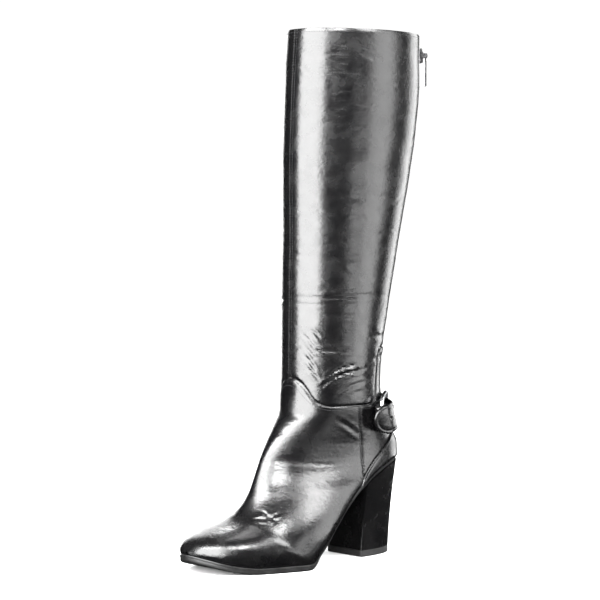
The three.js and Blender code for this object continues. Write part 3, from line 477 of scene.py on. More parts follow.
def crease_height(points, crease):
    """Displacement that one crease gives to points of the plain form, in millimetres."""
    line_at, width, depth, ridge = crease
    line = smooth_line(line_at)
    place, angle = line[:, 0], np.radians(line[:, 1])
    spine = form_point(place, angle, 0)
    out = form_point(place, angle, 1) - spine
    way = np.gradient(spine, axis=0)
    across = np.cross(out, way)
    across /= np.linalg.norm(across, axis=1)[:, None]
    fade = np.sin(math.pi * np.linspace(0, 1, len(spine))) ** 0.6
    near = np.all((points > spine.min(0) - 4 * width) & (points < spine.max(0) + 4 * width), axis=1)
    height = np.zeros(len(points))
    some = points[near]
    if len(some) == 0:
        return height
    gap = some[:, None, :] - spine[None]
    k = (gap * gap).sum(2).argmin(1)
    offset = gap[np.arange(len(some)), k]
    v = (offset * across[k]).sum(1) / width
    beyond = np.sqrt(np.clip((offset * offset).sum(1) - (v * width) ** 2, 0, None)) / (2 * width)
    shape = ridge * np.exp(-((np.abs(v) - 1.7) / 0.9) ** 2) - np.exp(-v * v)
    height[near] = depth * fade[k] * shape * np.exp(-beyond * beyond)
    return height


def small_creases():
    """Short wrinkles and broad swells spread over the leather, the same ones in every run."""
    rng = np.random.default_rng(RELIEF_SEED)
    found = []
    for _ in range(WRINKLES):
        place = rng.uniform(0.4, 9.4)
        turn = rng.uniform(-180, 180)
        half = rng.uniform(4, 15)
        slope = rng.normal(0, 0.05)
        middle = (place + rng.normal(0, 0.02), turn)
        line = ((place - slope, turn - half), middle, (place + slope, turn + half))
        found.append((line, rng.uniform(1.2, 2.2), rng.uniform(0.1, 0.28), 0.5))
    for _ in range(SWELLS):
        place = rng.uniform(0.2, 9.0)
        turn = rng.uniform(-180, 180)
        half = rng.uniform(14, 40)
        slope = rng.normal(0, 0.2)
        line = ((place - slope, turn - half), (place, turn), (place + slope, turn + half))
        found.append((line, rng.uniform(7, 13), rng.uniform(-0.45, 0.45), 0.3))
    return found


def relief_of(surface):
    """The leather's relief at each point of a surface."""
    uv = surface[0]
    points = form_point(uv[:, 0], uv[:, 1], 0)
    total = np.zeros(len(uv))
    for crease in (*CREASES, *small_creases()):
        total += crease_height(points, crease)
    return total


def smooth_relief():
    """The relief as a function of place and angle, from one fine grid."""
    places = np.linspace(0, LAST_SECTION, 560)
    turns = np.linspace(-math.pi, math.pi, 321)
    uv, _ = grid(places, turns)
    heights = relief_of((uv, None)).reshape(len(places), len(turns))

    def at(uv):
        i = uv[:, 0] / LAST_SECTION * (len(places) - 1)
        wrapped = (uv[:, 1] + math.pi) % (2 * math.pi)
        j = wrapped / (2 * math.pi) * (len(turns) - 1)
        i0 = np.clip(i.astype(int), 0, len(places) - 2)
        j0 = np.clip(j.astype(int), 0, len(turns) - 2)
        u, v = i - i0, j - j0
        low = heights[i0, j0] * (1 - v) + heights[i0, j0 + 1] * v
        high = heights[i0 + 1, j0] * (1 - v) + heights[i0 + 1, j0 + 1] * v
        return low * (1 - u) + high * u

    return at


relief = smooth_relief()

# Lines seen from the side, as forward and up in millimetres
CLEAR = 400
TAB_RISE = 30
TAB_FORWARD = 44
TAB_CORNER = 9
SIDE_DROP = 21
PEAK_RISE = 12
PEAK_FOOT = 22
TAB_LEAN = 3
LAP = 7


def quadratic(start, middle, end, steps=8):
    t = np.linspace(0, 1, steps + 1)[1:, None]
    start, middle, end = (np.array(p, float) for p in (start, middle, end))
    return (1 - t) ** 2 * start + 2 * t * (1 - t) * middle + t * t * end


def top_line():
    """The foot part's top line: the back tab, the low sides and the front peak."""
    tab_top = ANKLE_HEIGHT + TAB_RISE
    side = ANKLE_HEIGHT - SIDE_DROP
    peak = ANKLE_HEIGHT + PEAK_RISE
    shin = SECTIONS["topA"][len(SHAFT_ROWS) - 1]
    rise = peak - side
    tab = TAB_FORWARD
    foot = PEAK_FOOT
    points = [(-CLEAR, tab_top), (tab - TAB_CORNER, tab_top)]
    turning = (shin - 0.27 * foot, side + 0.32 * rise)
    bends = (
        ((tab, tab_top), (tab + TAB_LEAN / 3, tab_top - TAB_CORNER), (tab + TAB_LEAN, side + TAB_CORNER)),
        ((tab + TAB_LEAN, side), (tab + 2 * TAB_CORNER, side), (shin - foot, side)),
        ((shin - 0.45 * foot, side + 1), turning, turning),
        ((shin, side + 0.85 * rise), (shin + 0.3 * foot, peak), (CLEAR, peak)),
    )
    for middle, end, onward in bends:
        points.extend(map(tuple, quadratic(points[-1], middle, end)))
        points.append(onward)
    kept = [points[0]]
    for point in points[1:]:
        if math.dist(point, kept[-1]) > 0.01:
            kept.append(point)
    return np.array(kept)


TOP_LINE = top_line()
COUNTER_LINE = smooth_line((
    (-25, 127), (2, 121), (14, 115), (24, 108), (40, 96), (56, 84), (66, 75), (71, 65), (75, 50),
))
SIDE_SEAM = smooth_line(((71, 141), (68, 122), (65, 107), (63, 88), (66, 68)))


def seen_from_side(uv, grow=0):
    return form_point(uv[:, 0], uv[:, 1], grow)[:, 1:]


def above_top(uv):
    return line_distance(seen_from_side(uv), TOP_LINE)


def below_top(uv):
    return -above_top(uv)


def above_seat(uv):
    side = seen_from_side(uv, FOOT_STEP)
    return side[:, 1] - seat(side[:, 0]) - GAP


def angles_all():
    return np.linspace(-math.pi, math.pi, AROUND + 1)


def row_step():
    return ROW_STEP


def far_away(uv):
    return np.full(len(uv), float(CLEAR))


def level(height):
    return lambda uv: np.full(len(uv), float(height))


def with_lines(surface, values, levels):
    """A surface with more edges where a function has some values."""
    uv, tris = surface
    for height in levels:
        uv, tris, _, _ = split(uv, tris, values(uv) - height)
    return uv, tris


def trough(distance, width, depth):
    return -depth * np.exp(-((distance / width) ** 2))


# The zip and the elastic panel lie in the back of the shaft
ZIP_ASIDE = 17
TEETH_WIDTH = 6.4
TAPE_WIDTH = 22
SLOT_WIDTH = TEETH_WIDTH + 2 * GAP
ZIP_TOP_MARGIN = 6
GORE_FROM = -3
GORE_TO = -36
GORE_TOP_MARGIN = 12
BACK_EDGE = ANKLE_HEIGHT + TAB_RISE
GORE_BOTTOM = BACK_EDGE + 6


def across_back(uv):
    """Distance from the middle of the back, and height; far aside for the front half."""
    points = form_point(uv[:, 0], uv[:, 1], 0)
    aside = np.where(np.cos(uv[:, 1]) < 0, points[:, 0], CLEAR)
    return np.stack([aside, points[:, 2]], 1)


def outside_box(uv, aside, heights, corner=0.0):
    """Distance from a rounded box on the back of the shaft, negative inside it."""
    low = np.array([aside[0], heights[0]], float)
    high = np.array([aside[1], heights[1]], float)
    off = np.abs(across_back(uv) - (low + high) / 2) - (high - low) / 2 + corner
    return np.hypot(*np.maximum(off, 0).T) + np.minimum(off.max(1), 0) - corner


def outside_slot(uv):
    half = SLOT_WIDTH / 2
    return outside_box(uv, (ZIP_ASIDE - half, ZIP_ASIDE + half), (BACK_EDGE - 4, BOOT_HEIGHT + CLEAR))


def outside_gore(uv):
    return outside_box(uv, (GORE_TO, GORE_FROM), (GORE_BOTTOM, BOOT_HEIGHT - GORE_TOP_MARGIN), 3)


def front_seam(uv):
    points = form_point(uv[:, 0], uv[:, 1], 0)
    return np.where(np.cos(uv[:, 1]) > 0, points[:, 0], CLEAR)


def side_seam(uv):
    """Distance from the seam down each side of the foot part, positive toward the heel."""
    return line_distance(seen_from_side(uv), SIDE_SEAM[::-1])


# Materials


def material(name, base, roughness, metallic=0.0, coat=0.0, coat_roughness=0.1, specular=0.5):
    made = bpy.data.materials.new(name)
    made.use_nodes = True
    shader = made.node_tree.nodes["Principled BSDF"]
    shader.inputs["Base Color"].default_value = (*base, 1)
    shader.inputs["Roughness"].default_value = roughness
    shader.inputs["Metallic"].default_value = metallic
    shader.inputs["Coat Weight"].default_value = coat
    shader.inputs["Coat Roughness"].default_value = coat_roughness
    shader.inputs["Specular IOR Level"].default_value = specular
    return made


def noise(made, size, detail, stretch=(1, 1, 1)):
    """A noise of a size in metres over the object, stretched along its axes."""
    nodes, links = made.node_tree.nodes, made.node_tree.links
    where = nodes.new("ShaderNodeTexCoord")
    scale = nodes.new("ShaderNodeMapping")
    scale.inputs["Scale"].default_value = stretch
    found = nodes.new("ShaderNodeTexNoise")
    found.inputs["Scale"].default_value = 1 / size
    found.inputs["Detail"].default_value = detail
    links.new(where.outputs["Object"], scale.inputs["Vector"])
    links.new(scale.outputs["Vector"], found.inputs["Vector"])
    return found


def wire(made, output, *sockets):
    """Joins a node's output to sockets of the surface."""
    shader = made.node_tree.nodes["Principled BSDF"]
    for socket in sockets:
        made.node_tree.links.new(output, shader.inputs[socket])


def grain(made, size, height, stretch=(1, 1, 1), detail=3.0, then=None):
    """A fine bump over a material: noise of a size, as deep as a height, in metres."""
    source = noise(made, size, detail, stretch)
    source.inputs["Roughness"].default_value = 0.55
    bump = made.node_tree.nodes.new("ShaderNodeBump")
    bump.inputs["Distance"].default_value = height
    bump.inputs["Strength"].default_value = 1
    made.node_tree.links.new(source.outputs["Fac"], bump.inputs["Height"])
    if then is not None:
        made.node_tree.links.new(then.outputs["Normal"], bump.inputs["Normal"])
    wire(made, bump.outputs["Normal"], "Normal", "Coat Normal")
    return bump


def mottle(made, size, low, high):
    """Roughness that drifts between two values over the material."""
    spread = made.node_tree.nodes.new("ShaderNodeMapRange")
    limits = {"From Min": 0.3, "From Max": 0.7, "To Min": low, "To Max": high}
    for socket, value in limits.items():
        spread.inputs[socket].default_value = value
    made.node_tree.links.new(noise(made, size, 4).outputs["Fac"], spread.inputs["Value"])
    wire(made, spread.outputs["Result"], "Roughness")


def ribs(made, pitch, height, direction="Z"):
    """A bump of even ribs across a material, a pitch apart in metres."""
    nodes, links = made.node_tree.nodes, made.node_tree.links
    where = nodes.new("ShaderNodeTexCoord")
    wave = nodes.new("ShaderNodeTexWave")
    wave.bands_direction = direction
    wave.inputs["Scale"].default_value = math.pi / (10 * pitch)
    wave.inputs["Distortion"].default_value = 0.4
    bump = nodes.new("ShaderNodeBump")
    bump.inputs["Distance"].default_value = height
    links.new(where.outputs["Object"], wave.inputs["Vector"])
    links.new(wave.outputs["Fac"], bump.inputs["Height"])
    wire(made, bump.outputs["Normal"], "Normal")


def tint(made, size, one, other):
    """Base colour that drifts between two tones over the material."""
    ramp = made.node_tree.nodes.new("ShaderNodeValToRGB")
    for stop, place, tone in zip(ramp.color_ramp.elements, (0.35, 0.65), (one, other)):
        stop.position = place
        stop.color = (*tone, 1)
    made.node_tree.links.new(noise(made, size, 5).outputs["Fac"], ramp.inputs["Fac"])
    wire(made, ramp.outputs["Color"], "Base Color")


def grey(tone, blue=0.0):
    return (tone, tone, tone + blue)


def finished(name, base, roughness, bump, drift, tones, texture=grain, **surface):
    """A material with a fine texture, a drift of roughness and a drift of tone."""
    made = material(name, base, roughness, **surface)
    texture(made, *bump)
    mottle(made, *drift)
    tint(made, *tones)
    return made


def leather_material(name, roughness, coat):
    made = material(name, BLACK, roughness, coat=coat, coat_roughness=0.16)
    broad = grain(made, 0.0046, 0.0002, stretch=(0.85, 0.85, 1.8), detail=3)
    grain(made, 0.0009, 0.00006, stretch=(1, 1, 1.4), detail=2, then=broad)
    mottle(made, 0.012, roughness - 0.05, roughness + 0.08)
    return made


BLACK = grey(0.0015, 0.0002)
BLACK_TONES = ((0.0011, 0.0011, 0.0013), (0.0023, 0.0022, 0.0023))
LEATHER = leather_material("black_leather", 0.24, 0.25)
tint(LEATHER, 0.02, *BLACK_TONES)
HEEL_LEATHER = finished(
    "heel_leather", BLACK, 0.22,
    (0.0012, 0.00002), (0.01, 0.18, 0.3), (0.015, *BLACK_TONES), coat=0.5, coat_roughness=0.1,
)
SOLE = finished(
    "sole_edge", grey(0.006), 0.42,
    (0.0008, 0.00003), (0.006, 0.34, 0.5), (0.008, grey(0.004), grey(0.009)),
)
# The sole's top ply: a lighter tone than the rest of the sole, a painted highlight for the light line along
# the sole's edge
PLY_PAINTED_HIGHLIGHT = finished(
    "sole_strip_painted_highlight", grey(0.012), 0.32,
    (0.0006, 0.00002), (0.004, 0.26, 0.4), (0.006, grey(0.009), grey(0.016)),
)
LIFT = finished(
    "heel_lift", grey(0.008), 0.6,
    (0.0005, 0.00004), (0.003, 0.5, 0.7), (0.004, grey(0.006), grey(0.011)),
)
LINING = finished(
    "lining", (0.018, 0.017, 0.016), 0.85,
    (0.0007, 0.00005), (0.01, 0.75, 0.95), (0.012, (0.014, 0.013, 0.012), (0.024, 0.023, 0.021)),
)
ELASTIC = finished(
    "elastic", grey(0.008, 0.001), 0.8,
    (0.0014, 0.0002, "Y"), (0.002, 0.7, 0.9), (0.001, grey(0.005, 0.001), grey(0.014, 0.001)), ribs,
)
TAPE = finished(
    "zip_cloth", grey(0.008, 0.001), 0.85,
    (0.0009, 0.0001), (0.002, 0.75, 0.95), (0.001, grey(0.005, 0.001), grey(0.012, 0.001)), ribs,
)
METAL = finished(
    "polished_metal", grey(0.62, 0.02), 0.17,
    (0.0009, 0.000006), (0.003, 0.12, 0.24), (0.004, grey(0.56, 0.02), grey(0.68, 0.01)), metallic=1,
)
TEETH_METAL = finished(
    "teeth_metal", grey(0.3, 0.01), 0.3,
    (0.0006, 0.000008), (0.002, 0.22, 0.4), (0.003, grey(0.24, 0.01), grey(0.36, 0.01)), metallic=1,
)
THREAD = finished(
    "thread", grey(0.012, 0.001), 0.5,
    (0.0003, 0.00003), (0.001, 0.42, 0.6), (0.003, grey(0.008, 0.001), grey(0.018, 0.001)),
)


# Pieces of the leg
EDGE_TROUGH_AT = 0.8
EDGE_TROUGH_WIDTH = 1.1
EDGE_TROUGH_DEPTH = 1.1
CUT_LINES = (0.4, 2.2)
TOP_LINES = (-0.4, 0.3, 0.8, 1.4, 2.2)
SEAM_LINES = (-1.1, -0.5, 0, 0.5, 1.1)
SIDE_SEAM_LINES = (-0.7, -0.2, 0.5)
SIDE_SEAM_WIDTH = 0.9
SIDE_SEAM_DEPTH = 0.7
SIDE_SEAM_STEP = 0.25
LINING_AROUND = 97
LINING_THIN = 0.1
LINING_DEEP = 0.3
FOOT_FIRST = 6.4
COUNTER_PLACES = (8, 16)


def leg_growth(uv):
    seam = trough(front_seam(uv), SEAM_WIDTH, SEAM_DEPTH)
    return relief(uv) + seam + trough(above_top(uv) - EDGE_TROUGH_AT, EDGE_TROUGH_WIDTH, EDGE_TROUGH_DEPTH)


def leg_surface():
    places = even_places(0, len(SHAFT_ROWS) + 3, row_step())
    surface = grid(places, angles_all())
    surface = trim(surface, lambda uv: above_top(uv) + LAP)
    surface = trim(surface, outside_slot, CUT_LINES)
    surface = trim(surface, outside_gore, CUT_LINES)
    surface = with_lines(surface, above_top, TOP_LINES)
    return with_lines(surface, front_seam, SEAM_LINES)


def leg_depth(uv):
    collar = BOOT_HEIGHT - form_point(uv[:, 0], uv[:, 1], 0)[:, 2]
    return np.minimum.reduce([collar, outside_slot(uv), outside_gore(uv)])


def leg_skin():
    surface = leg_surface()
    points, faces = sheet_mesh(surface, leg_growth, level(-SHAFT_WALL), leg_depth, 0.5, closed=False)
    made = mesh_object("leg_skin", points, faces, LEATHER)
    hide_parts("shaft")
    return made


def lining(name, places, *kept):
    """A thin inner sheet of the form over some places, cut by its limits."""
    surface = grid(places, np.linspace(-math.pi, math.pi, LINING_AROUND))
    for keep in kept:
        surface = trim(surface, keep)
    outer, inner = level(LINING_THIN - SHAFT_WALL), level(-LINING_DEEP - SHAFT_WALL)
    points, faces = sheet_mesh(surface, outer, inner, far_away, LINING_THIN)
    mesh_object(name, points, faces, LINING)


def leg_lining():
    lining("leg_lining", even_places(0, len(SHAFT_ROWS) + 4, 5), lambda uv: above_top(uv) + 3 * LAP)


# Pieces of the foot


def foot_growth(uv):
    beside = side_seam(uv)
    step = SIDE_SEAM_STEP * smoothstep(-0.4, 0.4, beside)
    seam = trough(beside + 0.2, SIDE_SEAM_WIDTH, SIDE_SEAM_DEPTH) - step
    return FOOT_STEP + relief(uv) + seam * (above_top(uv) < 0)


def foot_inner(uv):
    lap = smoothstep(LAP + 1, LAP + 3, below_top(uv))
    return 0.08 + (-SHAFT_WALL - 0.08) * lap


def foot_skin():
    places = even_places(FOOT_FIRST, LAST_SECTION, row_step())
    surface = grid(places, angles_all())
    surface = trim(surface, below_top, (0.4, 2.0, 2.8))
    surface = trim(surface, above_seat)
    surface = with_lines(surface, side_seam, SIDE_SEAM_LINES)
    points, faces = sheet_mesh(surface, foot_growth, foot_inner, below_top, 0.5, closed=False)
    made = mesh_object("foot_skin", points, faces, LEATHER)
    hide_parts("upper")
    return made


def foot_lining():
    lining("foot_lining", even_places(8, LAST_SECTION, 4), lambda uv: below_top(uv) - 2 * LAP, above_seat)


COUNTER_BASE = FOOT_STEP + GAP
SEAT_PAIRS = 150


def crossing(place, side, grow):
    """Where the grown form crosses the seat on one side, at some places."""
    def over(angle):
        point = form_point(place, angle, grow)
        return point[:, 2] > seat(point[:, 1])

    angle = halved(np.full(len(place), side * math.pi / 2), np.full(len(place), side * math.pi), over)
    return form_point(place, angle, grow)[:, :2]


def first_seat_place(grow):
    """Where the grown form's back comes down to the seat."""
    def over(place):
        point = form_point(place, np.array([math.pi]), grow)[0]
        return point[2] >= seat(point[1])

    return halved(np.array([float(len(SHAFT_ROWS))]), np.array([len(SHAFT_ROWS) + 8.0]), over)[0]


def resample(line, count):
    length = np.concatenate([[0], np.cumsum(np.hypot(*np.diff(line, axis=0).T))])
    at = np.linspace(0, length[-1], count)
    return np.stack([np.interp(at, length, line[:, k]) for k in range(line.shape[1])], 1)


def sole_margin(forward):
    along = np.asarray(forward) / FOOT_LENGTH
    rear = HEEL_MARGIN + (WAIST_MARGIN - HEEL_MARGIN) * smoothstep(0.18, 0.34, along)
    return rear + (FOREFOOT_MARGIN - WAIST_MARGIN) * smoothstep(0.42, 0.62, along)


def moved_out(line, distance):
    """An outer side's line of x and forward moved out by distances, seen from above."""
    way = np.gradient(line, axis=0)
    out = np.stack([way[:, 1], -way[:, 0]], 1)
    out /= np.hypot(*out.T)[:, None] + 1e-12
    return line + out * np.asarray(distance)[:, None]


def sole_side(side):
    """One side of the sole's outline from the heel's back to the toe, as x and forward."""
    first = first_seat_place(FOOT_STEP)
    share = np.linspace(0.012, 1, 400) ** 2
    line = crossing(first + (LAST_SECTION - first) * share, side, FOOT_STEP)
    if side < 0:
        line = line * (-1, 1)
    line = resample(line, SEAT_PAIRS)
    line = moved_out(line, sole_margin(line[:, 1]))
    return line * (side, 1)


OUTER_EDGE = sole_side(1)
INNER_EDGE = sole_side(-1)


def layer(inset):
    """Both sides of the sole's outline brought in, from the outer heel to the inner heel."""
    sides = []
    for side, line in ((1, OUTER_EDGE), (-1, INNER_EDGE)):
        flat = moved_out(line * (side, 1), np.full(len(line), -inset))
        sides.append(flat * (side, 1))
    return np.concatenate([sides[0], sides[1][::-1]])


def ring_faces(rings, size, closed=True):
    """Quads between rings of equal size."""
    faces = []
    for ring in range(rings - 1):
        for i in range(size if closed else size - 1):
            j = (i + 1) % size
            faces.append((ring * size + i, ring * size + j, (ring + 1) * size + j, (ring + 1) * size + i))
    return faces


def fill_across(ring, height, steps=8):
    """Points and quads that fill an outline whose halves mirror each other."""
    half = len(ring) // 2
    outer, inner = ring[:half], ring[half:][::-1]
    share = np.linspace(0, 1, steps + 1)[:, None, None]
    flat = outer[None] * (1 - share) + inner[None] * share
    points = np.concatenate([flat, height(flat[..., 1])[..., None]], -1)
    return points.reshape(-1, 3), ring_faces(steps + 1, half, closed=False)


def joined(parts):
    points, faces, base = [], [], 0
    for part_points, part_faces in parts:
        points.append(np.asarray(part_points, float))
        faces.extend(tuple(base + i for i in face) for face in part_faces)
        base += len(part_points)
    return np.concatenate(points), faces


def stacked(rows, over_steps=8):
    """Rings of the sole's outline, each brought in and at its height, filled over and under."""
    rings = []
    for inset, height in rows:
        flat = layer(inset)
        rings.append(np.concatenate([flat, height(flat[:, 1])[:, None]], 1))
    walls = (np.concatenate(rings), ring_faces(len(rings), len(rings[0])))
    over = fill_across(rings[0][:, :2], rows[0][1], over_steps)
    points, faces = fill_across(rings[-1][:, :2], rows[-1][1])
    return joined([walls, over, (points, [face[::-1] for face in faces])])


EDGE_PLY = 1.8
EDGE_GROOVE = 0.7
EDGE_BEVEL = 0.8
GROOVE_EASE = 0.3
PLY_RINGS = (1, 4)


def sole():
    """The sole: a proud top ply, a groove under it and a bevelled foot."""
    ply = EDGE_PLY - GAP
    proud = EDGE_GROOVE - GROOVE_EASE
    points, faces = stacked((
        (0.3, seat),
        (0.05, lambda a: seat(a) - 0.1),
        (0, lambda a: seat(a) - 0.35),
        (0, lambda a: seat(a) - ply + 0.2),
        (0.15, lambda a: seat(a) - ply),
        (EDGE_GROOVE, lambda a: seat(a) - ply - 0.15),
        (EDGE_GROOVE, lambda a: seat(a) - ply - 0.5),
        (proud, lambda a: seat(a) - ply - 0.7),
        (proud, lambda a: tread(a) + 1.2),
        (EDGE_GROOVE, lambda a: tread(a) + EDGE_BEVEL / 2),
        (EDGE_GROOVE + EDGE_BEVEL, tread),
    ))
    made = mesh_object("sole", placed(points), faces, SOLE)
    made.data.materials.append(PLY_PAINTED_HIGHLIGHT)
    # The top ply's faces take the lighter tone: a painted highlight along the sole's edge
    first, last = (2 * SEAT_PAIRS * ring for ring in PLY_RINGS)
    for polygon in made.data.polygons:
        if first <= polygon.index < last:
            polygon.material_index = 1
    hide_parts("outsole")


INSOLE_INSET = 6.4
INSOLE_THICKNESS = 1.5
INSOLE_WORN = 0.5
INSOLE_STEPS = 16


def insole():
    """The soft sock over the seat, hollowed a little where the heel and the ball press."""
    def low(a):
        return seat(a) + GAP

    def top(a):
        along = a / FOOT_LENGTH
        worn = np.exp(-((along - 0.14) / 0.1) ** 2) + np.exp(-((along - 0.72) / 0.09) ** 2)
        return low(a) + INSOLE_THICKNESS - INSOLE_WORN * worn

    points, faces = stacked((
        (INSOLE_INSET + 0.6, top),
        (INSOLE_INSET + 0.15, lambda a: top(a) - 0.15),
        (INSOLE_INSET, lambda a: top(a) - 0.5),
        (INSOLE_INSET, low),
    ), INSOLE_STEPS)
    made = mesh_object("insole_sock", placed(points), faces, LINING)
    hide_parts("insole")


# The block heel


def to_breast(line):
    kept = line[line[:, 1] < BREAST_FORWARD]
    after = line[len(kept)]
    share = (BREAST_FORWARD - kept[-1][1]) / (after[1] - kept[-1][1])
    return np.concatenate([kept, [kept[-1] + (after - kept[-1]) * share]])


HEEL_AROUND = 120
BREAST_POINTS = 24


def heel_top_outline():
    around = np.concatenate([to_breast(OUTER_EDGE)[::-1], to_breast(INNER_EDGE)])
    return resample(around, HEEL_AROUND)


def heel_tread_outline():
    turn = np.pi * (0.5 - np.linspace(0, 1, 400))
    x = np.sign(np.sin(turn)) * np.abs(np.sin(turn)) ** 0.85 * TREAD_WIDTH / 2
    a = TREAD_BACK + TREAD_LENGTH * (1 - np.clip(np.cos(turn), 0, 1) ** 0.85)
    return resample(np.stack([x, a], 1), HEEL_AROUND)


def with_breast(ring, rounding=2):
    """A ring closed across the heel's front, its two corners eased."""
    share = np.linspace(0, 1, BREAST_POINTS + 2)[1:-1, None]
    closed = np.concatenate([ring, ring[-1] * (1 - share) + ring[0] * share])
    for _ in range(rounding):
        closed = (np.roll(closed, 1, 0) + 2 * closed + np.roll(closed, -1, 0)) / 4
    return closed


HEEL_RINGS = 36
HEEL_HOLLOW = 0.12
LIFT_EASE = 0.3
LIFT_BEVEL = 0.5


def heel_block():
    floor = LIFT_THICKNESS + GAP
    top, low = heel_top_outline(), heel_tread_outline()
    high = tread(with_breast(top)[:, 1]) - GAP
    rings = []
    for share in np.linspace(0, 1, HEEL_RINGS):
        ease = share + HEEL_HOLLOW * math.sin(math.pi * share)
        flat = with_breast(top + (low - top) * ease)
        rings.append(np.concatenate([flat, (high + (floor - high) * share)[:, None]], 1))
    points, faces = capped(rings)
    made = mesh_object("heel_cover", placed(points), faces, HEEL_LEATHER, sharp=40)
    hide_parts("heel_block")


def heel_lift():
    low = with_breast(heel_tread_outline())
    middle = low.mean(0)
    rows = (
        (LIFT_EASE, LIFT_THICKNESS),
        (0, LIFT_THICKNESS - LIFT_EASE),
        (0, LIFT_BEVEL),
        (LIFT_BEVEL, 0),
    )
    rings = []
    for inset, height in rows:
        flat = middle + (low - middle) * (1 - inset * 2 / TREAD_WIDTH)
        rings.append(np.concatenate([flat, np.full((len(flat), 1), height)], 1))
    points, faces = capped(rings)
    made = mesh_object("heel_top_piece", placed(points), faces, LIFT, sharp=40)
    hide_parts("heel_top_lift")


def in_counter(uv):
    return -line_distance(seen_from_side(uv), COUNTER_LINE)


def counter_growth(uv):
    stitched = trough(in_counter(uv) - COUNTER_STITCH, 0.5, 0.2)
    return COUNTER_BASE + COUNTER_THICKNESS + relief(uv) * 0.5 + stitched


def counter():
    """The crescent over the heel."""
    places = even_places(*COUNTER_PLACES, row_step())
    angles = angles_all() % (2 * math.pi)
    surface = grid(places, np.sort(np.unique(angles)))
    surface = trim(surface, in_counter, (0.4, 1.4, 2.2))
    surface = trim(surface, above_seat)
    points, faces = sheet_mesh(surface, counter_growth, level(COUNTER_BASE), in_counter, 0.45)
    made = mesh_object("counter", points, faces, LEATHER)
    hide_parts("heel_counter")
    return made


# Places at a turn round the leg from the middle of the back: positive turns go to the outer side


def level_point(turn, height, grow):
    """Points on the grown form at some heights, as x, forward and up."""
    turn, height, grow = np.broadcast_arrays(np.asarray(turn, float), height, grow)
    angle = math.pi - turn
    first, last = np.zeros(turn.shape), np.full(turn.shape, len(SHAFT_ROWS) + 3.0)
    place = halved(first, last, lambda where: form_point(where, angle, grow)[..., 2] > height)
    return form_point(place, angle, grow)


def unit(vector):
    return vector / np.linalg.norm(vector, axis=-1, keepdims=True)


class Axes:
    """Axes on the leg at a turn and height: along goes to the outer side, up up it, out of it."""

    def __init__(self, turn, height, grow):
        step = 0.03
        self.origin = placed(level_point(turn, height, grow)) / MM
        along = placed(level_point(turn + step, height, grow) - level_point(turn - step, height, grow))
        along[1] -= ORIGIN_FORWARD * MM
        rise = placed(level_point(turn, height + 3, grow) - level_point(turn, height - 3, grow))
        rise[1] -= ORIGIN_FORWARD * MM
        self.along = unit(along)
        self.out = unit(np.cross(unit(rise), self.along))
        self.up = unit(np.cross(self.along, self.out))

    def at(self, u, v, w):
        """Points of this frame, in millimetres."""
        u, v, w = (np.asarray(n, float)[..., None] for n in (u, v, w))
        return self.origin + u * self.along + v * self.up + w * self.out


def capped(rings):
    """A body of rings closed by a fan at each end."""
    size = len(rings[0])
    points = np.concatenate([*rings, [rings[0].mean(0)], [rings[-1].mean(0)]])
    faces = ring_faces(len(rings), size)
    last = (len(rings) - 1) * size
    for i in range(size):
        j = (i + 1) % size
        faces.append((len(points) - 2, j, i))
        faces.append((len(points) - 1, last + i, last + j))
    return points, faces


def tube(path, radius, sides=12, closed=False, squash=1.0, normals=None):
    """A round bar along a path of points, its radius one number or one for each point."""
    path = np.asarray(path, float)
    radius = np.broadcast_to(radius, len(path))
    way = np.roll(path, -1, 0) - np.roll(path, 1, 0) if closed else np.gradient(path, axis=0)
    way = unit(way)
    if normals is None:
        middle = path.mean(0)
        normals = np.cross(way, unit(np.cross(path[1] - path[0], middle - path[0]))) if closed else None
    if normals is None:
        first = np.cross(way[0], (0, 0, 1))
        first = first if np.linalg.norm(first) > 0.1 else np.cross(way[0], (1, 0, 0))
        normals = [unit(first)]
        for step in way[1:]:
            normals.append(unit(normals[-1] - step * (normals[-1] @ step)))
        normals = np.array(normals)
    normals = unit(normals - way * (normals * way).sum(1)[:, None])
    side = np.cross(way, normals)
    rings = []
    roll = 2 * np.pi * np.arange(sides) / sides
    for k, middle in enumerate(path):
        circle = np.outer(np.cos(roll) * squash, normals[k]) + np.outer(np.sin(roll), side[k])
        rings.append(middle + radius[k] * circle)
    if not closed:
        return capped(rings)
    faces = ring_faces(len(rings), sides)
    last = (len(rings) - 1) * sides
    faces += [(last + i, last + (i + 1) % sides, (i + 1) % sides, i) for i in range(sides)]
    return np.concatenate(rings), faces


def outward(points, faces):
    """Faces turned so that a closed body's normals point out."""
    points = np.asarray(points)
    volume = 0.0
    for face in faces:
        p = points[face[0]]
        for i in range(1, len(face) - 1):
            volume += p @ np.cross(points[face[i]], points[face[i + 1]])
    return faces if volume > 0 else [face[::-1] for face in faces]


def hardware(name, parts, finish, body="boot", sharp=40):
    """One object of closed bodies given in millimetres in the boot's frame."""
    points, faces = joined([(part, outward(part, part_faces)) for part, part_faces in parts])
    return mesh_object(name, points * MM, faces, finish, body, sharp)


# The ankle strap runs round the back, under the buckle's rear bar and over its front bar
STRAP_WIDTH = 25
STRAP_THICKNESS = 1.8
STRAP_BELOW_ANKLE = 24
STRAP_SLOPE = 14
STRAP_BASE = FOOT_STEP + GAP
BUCKLE_TURN = 50
BUCKLE_TILT = 6
BUCKLE_LONG = 36
BUCKLE_HIGH = 35
BUCKLE_BAR = 4.2
BUCKLE_CORNER = 6
BUCKLE_STANDOFF = 5
CHAPE_THICKNESS = 1.6
PRONG_RADIUS = 1.3
LOOP_LIFT = 9.3
BAR_LONG = (BUCKLE_LONG - BUCKLE_BAR) / 2
BAR_HIGH = (BUCKLE_HIGH - BUCKLE_BAR) / 2
BAR_RADIUS = BUCKLE_BAR / 2
LOOP_HIGH = LOOP_LIFT + BAR_RADIUS + GAP + CHAPE_THICKNESS
HOLE_RADIUS = 1.5
HOLE_TURNS = (56, 67)

